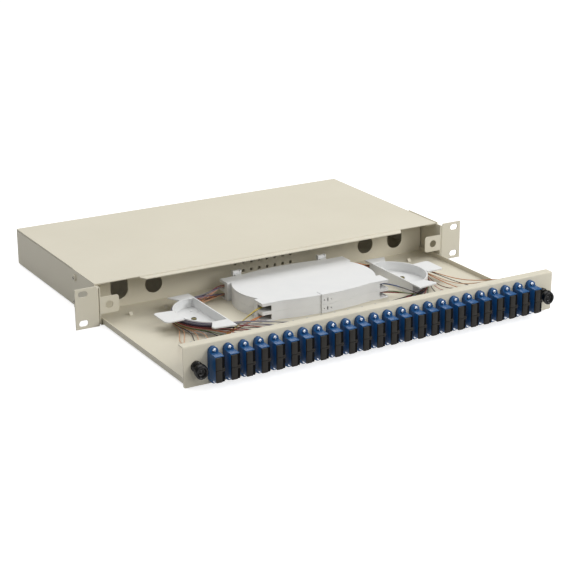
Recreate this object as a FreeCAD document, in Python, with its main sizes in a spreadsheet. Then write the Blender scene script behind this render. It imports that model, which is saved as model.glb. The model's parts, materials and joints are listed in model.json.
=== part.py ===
"""Fibre splice box for a 19 inch rack: a sliding drawer with splice cassettes and a row of adapters.

Millimetres. The origin is the centre of the four ear slots, on the front plane of the rack ears.
+X runs along the width, the front faces -Y and +Z is up. The drawer is drawn pulled out.
"""
import FreeCAD, Part
import math
import os
import Sketcher

Vector = FreeCAD.Vector
LEFT, RIGHT = -1, 1
SIDES = {"left": LEFT, "right": RIGHT}

# Driving dimensions, each written once
DRIVING = {
    # housing
    "housing_width": 428.4, "housing_height": 42.4, "housing_depth": 237.0, "housing_sheet": 1.0,
    "top_flange": 12.0, "cover_setback": 9.6, "lip_reach": 8.0, "lip_drop": 1.1, "lip_joggle": 0.7,
    "lip_width": 328.0, "lip_chamfer": 4.0, "fold_radius": 1.6,
    "tab_width": 20.8, "tab_height": 18.4, "tab_hole_radius": 4.2, "tab_corner": 3.0,
    # rack ears
    "ear_span": 482.6, "ear_height": 43.8, "bracket_sheet": 1.5, "bracket_depth": 67.0, "bracket_bend": 2.5,
    "slot_spacing_across": 465.1, "slot_spacing_up": 31.75, "slot_length": 10.3, "slot_width": 6.8,
    "bracket_screw_setback": 61.0, "bracket_screw_spacing": 26.6, "bracket_notch_gap": 0.4,
    # drawer
    "drawer_out": 197.7, "panel_close_gap": 0.3, "drawer_sheet": 1.0, "drawer_depth": 238.0,
    "drawer_under_gap": 0.1, "flange_under_gap": 0.15, "drawer_side_gap": 1.6, "tray_flange": 6.0, "flange_relief": 3.0,
    "panel_width": 433.2, "panel_flange": 10.0, "panel_corner": 2.0, "wall_top_gap": 0.8,
    "gland_radius": 10.25, "gland_place": 134.8, "gland_level": -0.6,
    "notch_width": 20.0, "notch_place": 175.2, "notch_level": -1.0,
    "perforation_radius": 1.8, "perforation_pitch": 10.0, "perforation_rows": 9.6, "perforation_level": 0.3,
    "lance_width": 4.0, "lance_length": 13.0, "lance_rise": 3.0, "lance_outer": 176.0, "lance_inner": 135.0,
    "lance_rear_gap": 18.0,
    # adapter row
    "adapter_pitch": 16.21, "adapter_level": -1.0, "flange_width": 11.6, "flange_height": 36.8,
    "flange_sheet": 2.0, "adapter_hole_spacing": 30.8, "adapter_hole_radius": 1.2,
    "adapter_width": 9.4, "adapter_height": 26.4, "adapter_front": 16.0, "adapter_rear": 14.0,
    "port_width": 7.6, "port_height": 9.2, "port_pitch": 12.7, "cutout_gap": 0.3, "adapter_step": 1.4,
    "cap_height": 14.0, "cap_thickness": 5.0, "cap_gap": 0.3, "cap_plug_depth": 8.0, "cap_seat_gap": 0.2,
    "cap_edge": 0.5, "cap_recess_width": 4.3, "cap_recess_depth": 1.6, "cap_bridge": 1.5,
    "plug_body": 22.0, "plug_boot": 15.0, "plug_boot_root": 5.8, "plug_boot_tip": 2.4, "plug_fit": 0.15,
    "cap_stem_gap": 0.6,
    # drawer fasteners
    "fastener_place": 203.5, "grommet_collar": 4.75, "grommet_thickness": 4.5, "grommet_neck": 3.0,
    "grommet_barrel": 7.0, "grommet_bore": 1.8, "grommet_slit": 1.0, "plunger_stroke": 3.2,
    "plunger_head": 6.8, "plunger_head_length": 5.6, "plunger_neck": 2.4, "plunger_pin": 1.6,
    "plunger_cup": 4.4, "plunger_cup_depth": 3.0,
    # fibre guides
    "guide_level": 14.1, "guide_sheet": 1.5, "guide_floor": 2.1, "guide_radius": 43.5,
    "guide_centre": 108.0, "guide_middle": -51.5, "guide_chord": 111.3, "guide_length": 113.0,
    "guide_tab": 19.5, "guide_screw_place": 129.5, "guide_screw_middle": -47.0, "guide_boss": 4.5,
    "guide_tab_corner": 4.0, "guide_slot_length": 3.2, "guide_slot_width": 1.0,
    "guide_slot_first": -24.5, "guide_slot_second": -28.9, "guide_slot_outer": 121.4, "guide_slot_inner": 115.8,
    # splice cassettes
    "cassette_middle_across": 9.0, "cassette_middle_along": -36.5, "cassette_length": 162.0,
    "cassette_bow": 107.0, "cassette_wing_length": 155.6, "cassette_wing_width": 95.0,
    "wing_inset": 5.0, "wing_depth": 17.5, "wing_run": 24.0, "cassette_pitch": 9.6, "cassette_wall": 1.4,
    "cassette_floor": 1.2, "lid_sheet": 1.2, "entry_height": 5.8, "entry_run": 11.0,
    "hub_radius": 20.0, "hub_place": 47.0, "hub_height": 6.0, "stack_gap": 0.1,
    "latch_place": 6.0, "latch_width": 14.5, "latch_proud": 1.2, "latch_lap": 9.0,
    "latch_slot_pitch": 4.2, "latch_slot_width": 1.4, "latch_slot_short": 1.3, "latch_slot_tall": 4.2,
    "hinge_place": 54.0, "hinge_reach": 7.0, "hinge_rise": 2.65, "hinge_pin": 1.0, "hinge_barrel": 2.4,
    "hinge_width": 7.0, "hinge_cheek": 1.5, "hinge_clearance": 0.15,
    "comb_length": 34.0, "comb_pitch": 4.2, "comb_rib": 0.8, "comb_height": 5.6, "comb_base": 0.8,
    "sleeve_radius": 1.3, "sleeve_length": 45.0,
    # fasteners and fibre
    "screw_shank": 2.0, "screw_head": 3.9, "screw_head_height": 2.2, "small_shank": 1.45,
    "small_head": 2.9, "small_head_height": 2.0, "tiny_shank": 1.1, "tiny_head": 2.1,
    "tiny_head_height": 1.4, "screw_clearance": 0.1,
    "bundle_radius": 1.9, "bundle_entry": 6.0, "bundle_gap": 0.3, "bundle_wrap_gap": 3.1,
    "fibre_radius": 0.45, "fibre_spread": 1.15, "fibre_step": 0.95, "fan_place": 149.0, "fan_middle": -83.5,
    "fan_knee": 5.0,
}
ADAPTER_COUNT = 24
PERFORATION_COLUMNS = 8
COMB_SLOTS = 6
FASTENER_SIDES = 8
FIBRE_SIDES = 6
BUNDLE_SIDES = 8


class Size:
    """A length that carries its value and the formula that binds a feature to the sheet."""

    def __init__(self, value, formula):
        self.value = float(value)
        self.formula = formula

    def _join(self, other, sign, value, swap=False):
        text = other.formula if isinstance(other, Size) else repr(other)
        first, second = (text, self.formula) if swap else (self.formula, text)
        return Size(value, f"({first} {sign} {second})")

    def __add__(self, other):
        return self._join(other, "+", self.value + float(other))

    def __radd__(self, other):
        return self._join(other, "+", float(other) + self.value, swap=True)

    def __sub__(self, other):
        return self._join(other, "-", self.value - float(other))

    def __rsub__(self, other):
        return self._join(other, "-", float(other) - self.value, swap=True)

    def __mul__(self, other):
        return self._join(other, "*", self.value * float(other))

    __rmul__ = __mul__

    def __truediv__(self, other):
        return self._join(other, "/", self.value / float(other))

    def __neg__(self):
        return Size(-self.value, f"(0 - {self.formula})")

    def __float__(self):
        return self.value


class Sizes:
    """The sheet of driving and derived dimensions, read as attributes."""

    def __init__(self, document):
        self._sheet = document.addObject("Spreadsheet::Sheet", "Sizes")
        self._row = 0
        for name, value in DRIVING.items():
            self._write(name, str(value))
            setattr(self, name, Size(value, f"Sizes.{name}"))

    def _write(self, name, text):
        self._row += 1
        self._sheet.set(f"A{self._row}", name.replace("_", " "))
        self._sheet.set(f"B{self._row}", text)
        self._sheet.setAlias(f"B{self._row}", name)

    def derive(self, name, size):
        """Keep a worked-out size in the sheet under its own name."""
        self._write(name, "=" + size.formula.replace("Sizes.", ""))
        setattr(self, name, Size(size.value, f"Sizes.{name}"))


doc = FreeCAD.newDocument("fibre_splice_box")
S = Sizes(doc)


def derive_levels():
    """Levels and places that several pieces share."""
    S.derive("housing_half", S.housing_width / 2)
    S.derive("housing_top", S.housing_height / 2)
    S.derive("cover_under", S.housing_top - S.housing_sheet)
    S.derive("tray_under", S.housing_sheet - S.housing_top + S.drawer_under_gap)
    S.derive("tray_top", S.tray_under + S.drawer_sheet)
    S.derive("tray_half", S.housing_half - S.housing_sheet - S.drawer_side_gap)
    S.derive("panel_back", -S.drawer_out - S.panel_close_gap)
    S.derive("panel_front", S.panel_back - S.drawer_sheet)
    S.derive("wall_back", S.panel_front + S.drawer_depth)
    S.derive("wall_front", S.wall_back - S.drawer_sheet)
    S.derive("wall_top", S.cover_under - S.housing_sheet - S.wall_top_gap)
    S.derive("adapter_first", -S.adapter_pitch * ((ADAPTER_COUNT - 1) / 2))
    S.derive("cap_front", S.panel_front - S.flange_sheet - S.adapter_front)
    S.derive("upper_cassette", S.tray_top + S.cassette_pitch)
    S.derive("lid_under", S.upper_cassette + S.cassette_pitch)
    S.derive("guide_top", S.tray_top + S.guide_level)
    S.derive("guide_seat", S.tray_top + S.guide_floor)
    S.derive("guide_deck", S.guide_seat + S.guide_sheet)
    S.derive("hinge_along", S.cassette_middle_along + S.cassette_wing_width / 2 + S.hinge_reach)


class Piece:
    """One sub-part as a body: sketches on its own planes, pads, pockets and patterns."""

    def __init__(self, label, separate_solids=False):
        self.body = doc.addObject("PartDesign::Body", label)
        self.body.Label = label
        self.body.AllowCompound = separate_solids
        self.count = 0

    def _datum(self, role):
        return [o for o in self.body.Origin.OriginFeatures if o.Role == role][0]

    def place(self, x=None, y=None, z=None):
        """Put the body at a point given by sheet sizes."""
        for axis, size in (("x", x), ("y", y), ("z", z)):
            if size is not None:
                self.body.setExpression(f"Placement.Base.{axis}", size.formula)
        return self

    def sketch(self, plane, offset=None):
        """Open a sketch on XY, XZ or YZ, at a distance along the plane's row axis."""
        self.count += 1
        drawing = self.body.newObject("Sketcher::SketchObject", f"{self.body.Name}_sketch_{self.count}")
        drawing.AttachmentSupport = [(self._datum(f"{plane}_Plane"), "")]
        drawing.MapMode = "FlatFace"
        if offset is not None:
            along = -offset if plane == "XZ" else offset
            drawing.setExpression("AttachmentOffset.Base.z", along.formula)
        return Drawing(drawing)

    def _feature(self, kind, drawing):
        self.count += 1
        feature = self.body.newObject(f"PartDesign::{kind}", f"{self.body.Name}_{kind.lower()}_{self.count}")
        feature.Profile = drawing.sketch
        return feature

    def pad(self, drawing, length, plane="XY"):
        """Add material along the positive row axis of the sketch's plane."""
        feature = self._feature("Pad", drawing)
        feature.setExpression("Length", length.formula)
        feature.Reversed = plane == "XZ"
        return feature

    def pocket(self, drawing, length, plane="XY"):
        """Cut along the positive row axis of the sketch's plane."""
        feature = self._feature("Pocket", drawing)
        feature.setExpression("Length", length.formula)
        feature.Reversed = plane != "XZ"
        return feature

    def revolve(self, drawing):
        """Turn a YZ sketch about its own Y axis."""
        feature = self._feature("Revolution", drawing)
        feature.ReferenceAxis = (drawing.sketch, ["H_Axis"])
        feature.Angle = 360
        return feature

    def repeat(self, feature, role, pitch, count):
        """Repeat a feature along one of the body's axes."""
        self.count += 1
        pattern = self.body.newObject("PartDesign::LinearPattern", f"{self.body.Name}_row_{self.count}")
        pattern.Originals = [feature]
        pattern.Direction = (self._datum(role), [""])
        pattern.setExpression("Length", (pitch * (count - 1)).formula)
        pattern.Occurrences = count
        self.body.Tip = pattern
        return pattern


class Drawing:
    """A sketch whose points and radii are bound to sheet sizes."""

    def __init__(self, sketch):
        self.sketch = sketch

    def _bind(self, constraint, size):
        index = self.sketch.addConstraint(constraint)
        if isinstance(size, Size):
            self.sketch.setExpression(f"Constraints[{index}]", size.formula)

    def _pin(self, geometry, position, point):
        for kind, size in zip(("DistanceX", "DistanceY"), point):
            self._bind(Sketcher.Constraint(kind, -1, 1, geometry, position, float(size)), size)

    def circle(self, x, y, radius):
        """A circle by centre and radius."""
        centre = Vector(float(x), float(y), 0)
        index = self.sketch.addGeometry(Part.Circle(centre, Vector(0, 0, 1), float(radius)), False)
        self._pin(index, 3, (x, y))
        self._bind(Sketcher.Constraint("Radius", index, float(radius)), radius)
        return self

    def few_sided(self, x, y, radius, sides):
        """A hole with a few flat sides, by centre and corner radius."""
        turns = [2 * math.pi * step / sides for step in range(sides)]
        return self.outline([(x + radius * round(math.cos(t), 6), y + radius * round(math.sin(t), 6)) for t in turns])

    def outline(self, points, bulges=None):
        """A closed outline. bulges maps a point's index to the radius of the arc that leaves it:
        a positive radius turns the outline left, a negative one turns it right."""
        bulges = bulges or {}
        count = len(points)
        ends = []
        for i, start in enumerate(points):
            a = Vector(float(start[0]), float(start[1]), 0)
            b = Vector(float(points[(i + 1) % count][0]), float(points[(i + 1) % count][1]), 0)
            if i not in bulges:
                index = self.sketch.addGeometry(Part.LineSegment(a, b), False)
                ends.append((index, 1, 2))
                continue
            radius = float(bulges[i])
            middle = arc_middle(a, b, radius)
            index = self.sketch.addGeometry(Part.Arc(a, middle, b), False)
            ends.append((index, 1, 2) if radius > 0 else (index, 2, 1))
        for i, (index, first, last) in enumerate(ends):
            following = ends[(i + 1) % count]
            self.sketch.addConstraint(Sketcher.Constraint("Coincident", index, last, following[0], following[1]))
            self._pin(index, first, points[i])
            if i in bulges:
                size = bulges[i] if float(bulges[i]) > 0 else -bulges[i]
                self._bind(Sketcher.Constraint("Radius", index, float(size)), size)
        return self

    def rectangle(self, x_low, y_low, x_high, y_high):
        """A rectangle by two corners."""
        return self.outline([(x_low, y_low), (x_high, y_low), (x_high, y_high), (x_low, y_high)])

    def slot(self, x, y, length, width):
        """A level slot with round ends, by centre, overall length and width."""
        run, rise = (length - width) / 2, width / 2
        corners = [(x - run, y - rise), (x + run, y - rise), (x + run, y + rise), (x - run, y + rise)]
        return self.outline(corners, {1: rise, 3: rise})


def arc_middle(a, b, radius):
    """Middle point of the shorter arc from a to b that turns left for a positive radius."""
    chord = b - a
    half = chord.Length / 2
    sagitta = abs(radius) - math.sqrt(max(radius * radius - half * half, 0.0))
    outward = Vector(chord.y, -chord.x, 0)
    outward.normalize()
    return (a + b) * 0.5 + outward * (sagitta if radius > 0 else -sagitta)


def turned(profile):
    """A solid turned about Z from a list of (radius, height) points that starts and ends on the axis."""
    points = [Vector(float(r), 0, float(z)) for r, z in profile]
    face = Part.Face(Part.makePolygon(points + [points[0]]))
    return face.revolve(Vector(0, 0, 0), Vector(0, 0, 1), 360)


def flat_sided(rings):
    """A solid with flat sides between rings of the same number of corners, closed at both ends."""
    outlines = [rings[0], rings[-1]]
    for near, far in zip(rings, rings[1:]):
        for i, corner in enumerate(near):
            j = (i + 1) % len(near)
            outlines.append([corner, near[j], far[j], far[i]])
    faces = [Part.Face(Part.makePolygon(outline + [outline[0]])) for outline in outlines]
    return Part.makeSolid(Part.Shell(faces))


def ring(centre, across, up, radius, sides):
    """Corners of a regular outline about a centre, from two square directions."""
    turns = [2 * math.pi * step / sides for step in range(sides)]
    return [centre + across * (radius * math.cos(t)) + up * (radius * math.sin(t)) for t in turns]


def pan_profile(shank, head, head_height, length):
    """Radius and height of a pan head screw that stands on Z = 0, its head above and its shank below."""
    shank, head, head_height, length = (float(v) for v in (shank, head, head_height, length))
    return [(shank, -length), (shank, 0), (head, 0), (head, head_height * 0.45), (head * 0.72, head_height)]


def pan_screw(shank, head, head_height, length):
    """A round pan head screw."""
    profile = pan_profile(shank, head, head_height, length)
    return turned([(0, profile[0][1])] + profile + [(0, profile[-1][1])])


def feature(label, shape):
    """A sub-part whose shape is made directly."""
    piece = doc.addObject("Part::Feature", label)
    piece.Label = label
    piece.Shape = shape
    piece.Placement = FreeCAD.Placement()
    return piece


def aimed(shape, position, direction):
    """Turn a shape that stands along Z to point along a direction, and move it."""
    moved = shape.copy()
    rotation = FreeCAD.Rotation(Vector(0, 0, 1), Vector(*direction))
    moved.Placement = FreeCAD.Placement(Vector(*(float(v) for v in position)), rotation)
    return moved


def adapter_centres():
    """X of every adapter, from the left."""
    return [S.adapter_first + S.adapter_pitch * i for i in range(ADAPTER_COUNT)]


def housing_shell():
    """Folded sleeve: bottom, two sides, narrow top flanges and two bent-in front tabs."""
    half, sheet, top = S.housing_half, S.housing_sheet, S.housing_top
    under, inner = S.cover_under, S.cover_under - S.housing_sheet
    shell = Piece("housing_shell")
    fold = S.fold_radius
    section = shell.sketch("XZ").outline([
        (fold - half, -top), (half - fold, -top), (half, fold - top), (half, under - fold),
        (half - fold, under), (half - S.top_flange, under),
        (half - S.top_flange, inner), (half - sheet, inner), (half - sheet, sheet - top),
        (sheet - half, sheet - top), (sheet - half, inner), (S.top_flange - half, inner),
        (S.top_flange - half, under), (fold - half, under), (-half, under - fold), (-half, fold - top)],
        {1: fold, 3: fold, 13: fold, 15: fold})
    shell.pad(section, S.housing_depth, "XZ")
    relief = shell.sketch("XY", inner)
    for side in SIDES.values():
        edges = sorted((side * (half - S.top_flange), side * (half - sheet)), key=float)
        relief.rectangle(edges[0], Size(0, "0") - sheet, edges[1], S.cover_setback + S.housing_sheet)
    shell.pocket(relief, sheet * 2)
    seat = shell.sketch("XY", under - S.flange_under_gap)
    seat.rectangle(-half - sheet, Size(0, "0") - sheet, half + sheet, S.cover_setback + sheet)
    shell.pocket(seat, sheet)
    tabs = shell.sketch("XZ")
    corner, high = S.tab_corner, S.tab_height / 2
    for side in SIDES.values():
        root, tip = side * (half - sheet / 2), side * (half - sheet - S.tab_width)
        points = [(root, high), (tip + side * corner, high), (tip, high - corner), (tip, corner - high),
                  (tip + side * corner, -high), (root, -high)]
        tabs.outline(points, {1: side * corner, 3: side * corner})
        tabs.circle(side * S.fastener_place, Size(0, "0"), S.tab_hole_radius)
    shell.pad(tabs, sheet, "XZ")
    holes = shell.sketch("YZ", -half - sheet)
    for level in (-1, 1):
        holes.circle(S.bracket_screw_setback, level * S.bracket_screw_spacing / 2,
                     S.screw_shank + S.screw_clearance)
    shell.pocket(holes, S.housing_width + sheet * 2, "YZ")


def top_cover():
    """Flat cover with a joggled lip that slides under the drawer's flange."""
    half, sheet = S.housing_half, S.housing_sheet
    cover = Piece("top_cover")
    plate = cover.sketch("XY", S.cover_under)
    plate.rectangle(-half, S.cover_setback, half, S.housing_depth)
    cover.pad(plate, sheet)
    front, low = S.cover_setback, S.housing_top - S.lip_drop
    lip = cover.sketch("YZ", -S.lip_width / 2)
    lip.outline([(front - S.lip_reach, low - sheet), (front, low - sheet), (front + S.lip_joggle, S.cover_under),
                 (front + S.lip_joggle, S.housing_top), (front, S.housing_top),
                 (front - S.lip_joggle, low), (front - S.lip_reach, low)])
    cover.pad(lip, S.lip_width, "YZ")
    ends = cover.sketch("XY", low - sheet * 2)
    for side in SIDES.values():
        tip, root = S.lip_width / 2 - S.lip_chamfer, S.lip_width / 2 + sheet
        points = [(side * tip, front - S.lip_reach - sheet), (side * root, front - S.lip_reach - sheet),
                  (side * root, front - S.lip_joggle), (side * S.lip_width / 2, front - S.lip_joggle),
                  (side * tip, front - S.lip_reach)]
        ends.outline(points if side > 0 else points[::-1])
    cover.pocket(ends, sheet * 4)


def ear_bracket(side_name):
    """Rack ear bent outwards at the front of a flange that screws to the housing's side."""
    side = SIDES[side_name]
    sheet, bend = S.bracket_sheet, S.bracket_bend
    inner = side * S.housing_half
    outer, tip = inner + side * sheet, side * S.ear_span / 2
    bracket = Piece(f"ear_bracket_{side_name}")
    plan = bracket.sketch("XY", -S.ear_height / 2)
    points = [(tip, Size(0, "0")), (tip, sheet), (outer, sheet), (outer, S.bracket_depth),
              (inner, S.bracket_depth), (inner, bend), (inner + side * bend, Size(0, "0"))]
    arc = {5: bend} if side > 0 else {5: -bend}
    bracket.pad(plan.outline(points, arc), S.ear_height)
    slots = bracket.sketch("XZ", Size(0, "0") - sheet)
    for level in (-1, 1):
        slots.slot(side * S.slot_spacing_across / 2, level * S.slot_spacing_up / 2, S.slot_length, S.slot_width)
    bracket.pocket(slots, sheet * 3, "XZ")
    holes = bracket.sketch("YZ", inner - sheet * 2)
    for level in (-1, 1):
        holes.circle(S.bracket_screw_setback, level * S.bracket_screw_spacing / 2,
                     S.screw_shank + S.screw_clearance)
    bracket.pocket(holes, sheet * 4, "YZ")
    gap = S.bracket_notch_gap
    notch = bracket.sketch("XY", S.cover_under - gap)
    edges = sorted((inner - side * sheet, side * (S.panel_width / 2 + gap)), key=float)
    notch.rectangle(edges[0], Size(0, "0") - sheet, edges[1], S.panel_flange - S.drawer_sheet)
    bracket.pocket(notch, sheet * 3)


def bracket_screws():
    """Four pan head screws through the bracket flanges into the housing's sides."""
    length = S.bracket_sheet + S.housing_sheet
    screw = pan_screw(S.screw_shank, S.screw_head, S.screw_head_height, length)
    solids = []
    for side in SIDES.values():
        for level in (-1, 1):
            place = (side * (S.housing_half + S.bracket_sheet), S.bracket_screw_setback,
                     level * S.bracket_screw_spacing / 2)
            solids.append(aimed(screw, place, (side, 0, 0)))
    feature("bracket_screws", Part.makeCompound(solids))


def drawer_tray():
    """One folded sheet: floor with turned-up sides, front panel with a top flange, and the rear wall."""
    sheet, half, under, top = S.drawer_sheet, S.tray_half, S.tray_under, S.tray_top
    front, back = S.panel_front, S.wall_back
    tray = Piece("drawer_tray")
    floor = tray.sketch("YZ", -half)
    floor.outline([(front, under), (back, under), (back, S.wall_top), (S.wall_front, S.wall_top),
                   (S.wall_front, top), (front, top)])
    tray.pad(floor, half * 2, "YZ")
    panel = tray.sketch("XZ", front)
    wide, corner, level, fold = S.panel_width / 2, S.panel_corner, S.housing_top, S.fold_radius
    panel.outline([(corner - wide, under), (wide - corner, under), (wide, under + corner), (wide, level - fold),
                   (-wide, level - fold), (-wide, under + corner)], {1: corner, 5: corner})
    tray.pad(panel, sheet, "XZ")
    lintel = tray.sketch("YZ", -wide)
    lintel.outline([(front, level - fold), (front + fold, level), (front + S.panel_flange, level),
                    (front + S.panel_flange, level - sheet), (front + fold, level - sheet),
                    (front + sheet, level - fold)], {0: -fold, 4: fold - sheet})
    tray.pad(lintel, wide * 2, "YZ")
    rails = tray.sketch("XZ", S.panel_back + S.flange_relief)
    for side in SIDES.values():
        edges = sorted((side * half, side * (half - sheet)), key=float)
        rails.rectangle(edges[0], under, edges[1], under + S.tray_flange)
    tray.pad(rails, S.wall_back - S.panel_back - S.flange_relief, "XZ")
    cut_panel(tray)
    cut_rear_wall(tray)
    lance_floor(tray)
    screws = tray.sketch("XY", under - sheet)
    for side in SIDES.values():
        screws.circle(side * S.guide_screw_place, S.guide_screw_middle, S.small_shank + S.screw_clearance)
        screws.circle(S.cassette_middle_across + side * S.hub_place, S.cassette_middle_along,
                      S.small_shank + S.screw_clearance)
    tray.pocket(screws, sheet * 3)


def cut_panel(tray):
    """A cut-out with two screw holes for each adapter, and a hole for each drawer fastener."""
    start, depth = S.panel_front - S.drawer_sheet, S.drawer_sheet * 3
    half_width = S.adapter_width / 2 + S.cutout_gap
    half_height = S.adapter_height / 2 + S.cutout_gap
    ports = tray.sketch("XZ", start)
    ports.rectangle(S.adapter_first - half_width, S.adapter_level - half_height,
                    S.adapter_first + half_width, S.adapter_level + half_height)
    for level in (-1, 1):
        ports.few_sided(S.adapter_first, S.adapter_level + level * S.adapter_hole_spacing / 2,
                        S.tiny_shank + S.screw_clearance, FASTENER_SIDES)
    tray.repeat(tray.pocket(ports, depth, "XZ"), "X_Axis", S.adapter_pitch, ADAPTER_COUNT)
    holes = tray.sketch("XZ", start)
    for side in SIDES.values():
        holes.circle(side * S.fastener_place, Size(0, "0"), S.grommet_neck + S.screw_clearance)
    tray.pocket(holes, depth, "XZ")


def cut_rear_wall(tray):
    """Round gland holes, open cable notches and two rows of tie holes."""
    start, depth = S.wall_front - S.drawer_sheet, S.drawer_sheet * 3
    entries = tray.sketch("XZ", start)
    radius = S.notch_width / 2
    for side in SIDES.values():
        entries.circle(side * S.gland_place, S.gland_level, S.gland_radius)
        middle, above = side * S.notch_place, S.wall_top + S.drawer_sheet
        entries.outline([(middle - radius, above), (middle - radius, S.notch_level),
                         (middle + radius, S.notch_level), (middle + radius, above)], {1: radius * 1.0001})
    tray.pocket(entries, depth, "XZ")
    holes = tray.sketch("XZ", start)
    for row in (-1, 1):
        holes.circle(-S.perforation_pitch * ((PERFORATION_COLUMNS - 1) / 2),
                     S.perforation_level + row * S.perforation_rows / 2, S.perforation_radius)
    tray.repeat(tray.pocket(holes, depth, "XZ"), "X_Axis", S.perforation_pitch, PERFORATION_COLUMNS)


def lance_floor(tray):
    """Four tie points: a slot in the floor with a tongue turned up at its front end."""
    rear = S.wall_front - S.lance_rear_gap
    slots = tray.sketch("XY", S.tray_under - S.drawer_sheet)
    for side in SIDES.values():
        for place in (S.lance_outer, S.lance_inner):
            middle = side * place
            slots.rectangle(middle - S.lance_width / 2, rear - S.lance_length,
                            middle + S.lance_width / 2, rear)
            tongue = tray.sketch("YZ", middle - S.lance_width / 2)
            foot = rear - S.lance_length
            tongue.outline([(foot - S.drawer_sheet, S.tray_top - S.drawer_sheet / 2),
                            (foot, S.tray_top - S.drawer_sheet / 2),
                            (foot + S.lance_rise, S.tray_top + S.lance_rise),
                            (foot + S.lance_rise - S.drawer_sheet, S.tray_top + S.lance_rise)])
            tray.pad(tongue, S.lance_width, "YZ")
    tray.pocket(slots, S.drawer_sheet * 3 / 2)


def adapter_row():
    """The first duplex adapter as a body, and its copies along the panel."""
    first = Piece("adapter_01")
    first.place(S.adapter_first, S.panel_front, S.adapter_level)
    half, step = S.flange_width / 2, S.adapter_step
    flange = first.sketch("XZ", -S.flange_sheet)
    straight = S.flange_height / 2 - half
    flange.outline([(-half, -straight), (half, -straight), (half, straight), (-half, straight)],
                   {0: half * 1.0001, 2: half * 1.0001})
    for level in (-1, 1):
        flange.few_sided(Size(0, "0"), level * S.adapter_hole_spacing / 2, S.adapter_hole_radius, FASTENER_SIDES)
    first.pad(flange, S.flange_sheet, "XZ")
    wide, high = S.adapter_width / 2, S.adapter_height / 2
    body = first.sketch("XZ", -S.flange_sheet - S.adapter_front + S.cap_thickness)
    body.rectangle(-wide, -high, wide, high)
    first.pad(body, S.flange_sheet + S.adapter_front - S.cap_thickness + S.adapter_rear, "XZ")
    shoulder = first.sketch("XZ", S.adapter_rear - step)
    shoulder.rectangle(-wide - step, -high - step, wide + step, high + step)
    shoulder.rectangle(-wide + S.cutout_gap, -high + S.cutout_gap, wide - S.cutout_gap, high - S.cutout_gap)
    first.pocket(shoulder, step * 2, "XZ")
    ports = first.sketch("XZ", -S.flange_sheet - S.adapter_front)
    for level in (-1, 1):
        middle = level * S.port_pitch / 2
        ports.rectangle(-S.port_width / 2, middle - S.port_height / 2, S.port_width / 2, middle + S.port_height / 2)
    first.pocket(ports, S.flange_sheet + S.adapter_front + S.adapter_rear + S.cap_thickness, "XZ")
    return first


def copy_adapters(first):
    """Adapters 2 to 24 repeat the first at the panel's pitch."""
    for i in range(1, ADAPTER_COUNT):
        piece = doc.addObject("Part::Feature", f"adapter_{i + 1:02d}")
        piece.Label = piece.Name
        piece.Shape = first.body.Shape
        x = S.adapter_first + S.adapter_pitch * i
        piece.Placement = FreeCAD.Placement(Vector(float(x), float(S.panel_front), float(S.adapter_level)),
                                            FreeCAD.Rotation())


def adapter_screws():
    """Two small pan head screws in the ears of every adapter, with few sides as they repeat."""
    profile = pan_profile(S.tiny_shank, S.tiny_head, S.tiny_head_height, S.flange_sheet + S.drawer_sheet)
    screw = flat_sided([ring(Vector(0, 0, height), Vector(1, 0, 0), Vector(0, 1, 0), radius, FASTENER_SIDES)
                        for radius, height in profile])
    solids = []
    for x in adapter_centres():
        for level in (-1, 1):
            place = (x, S.panel_front - S.flange_sheet, S.adapter_level + level * S.adapter_hole_spacing / 2)
            solids.append(aimed(screw, place, (0, -1, 0)))
    feature("adapter_screws", Part.makeCompound(solids))


def cap_row(name, level):
    """The dust caps of one row of ports: a plate stepped back on one side, and a stem in the port."""
    wide, high = float(S.adapter_width) / 2, float(S.cap_height) / 2
    deep, bridge = float(S.cap_thickness - S.cap_seat_gap), float(S.cap_bridge)
    cap = Part.makeBox(wide * 2, deep, high * 2, Vector(-wide, 0, -high))
    cap = cap.makeChamfer(float(S.cap_edge), [e for e in cap.Edges if e.BoundBox.YMax < 1e-6])
    recess = Part.makeBox(float(S.cap_recess_width), float(S.cap_recess_depth), high * 2,
                          Vector(wide - float(S.cap_recess_width), 0, -high + level * bridge))
    cap = cap.cut(recess)
    shift = level * float(S.port_pitch - S.cap_height - S.cap_gap) / 2
    stem_wide = float(S.port_width / 2 - S.cap_stem_gap)
    stem_high = float(S.port_height / 2 - S.cap_stem_gap)
    stem = Part.makeBox(stem_wide * 2, float(S.cap_plug_depth), stem_high * 2,
                        Vector(-stem_wide, deep, shift - stem_high))
    cap = cap.fuse(stem).removeSplitter()
    middle = float(S.adapter_level + level * (S.cap_height + S.cap_gap) / 2)
    solids = []
    for x in adapter_centres():
        copy = cap.copy()
        copy.translate(Vector(float(x), float(S.cap_front), middle))
        solids.append(copy)
    feature(f"dust_caps_{name}", Part.makeCompound(solids))


def plug_row(name, level):
    """The pigtail connectors of one row of ports, behind the panel: a body and a tapered boot."""
    wide = float(S.port_width / 2 - S.plug_fit)
    high = float(S.port_height / 2 - S.plug_fit)
    start = float(S.panel_back + S.adapter_rear / 2)
    root, tip, back = float(S.plug_boot_root) / 2, float(S.plug_boot_tip) / 2, float(S.plug_body)
    plug = flat_sided([
        [Vector(-across, y, -up), Vector(across, y, -up), Vector(across, y, up), Vector(-across, y, up)]
        for y, across, up in ((0, wide, high), (back, wide, high), (back, root, root),
                              (back + float(S.plug_boot), tip, tip))])
    middle = float(S.adapter_level + level * S.port_pitch / 2)
    solids = []
    for x in adapter_centres():
        copy = plug.copy()
        copy.translate(Vector(float(x), start, middle))
        solids.append(copy)
    feature(f"pigtail_plugs_{name}", Part.makeCompound(solids))


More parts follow.
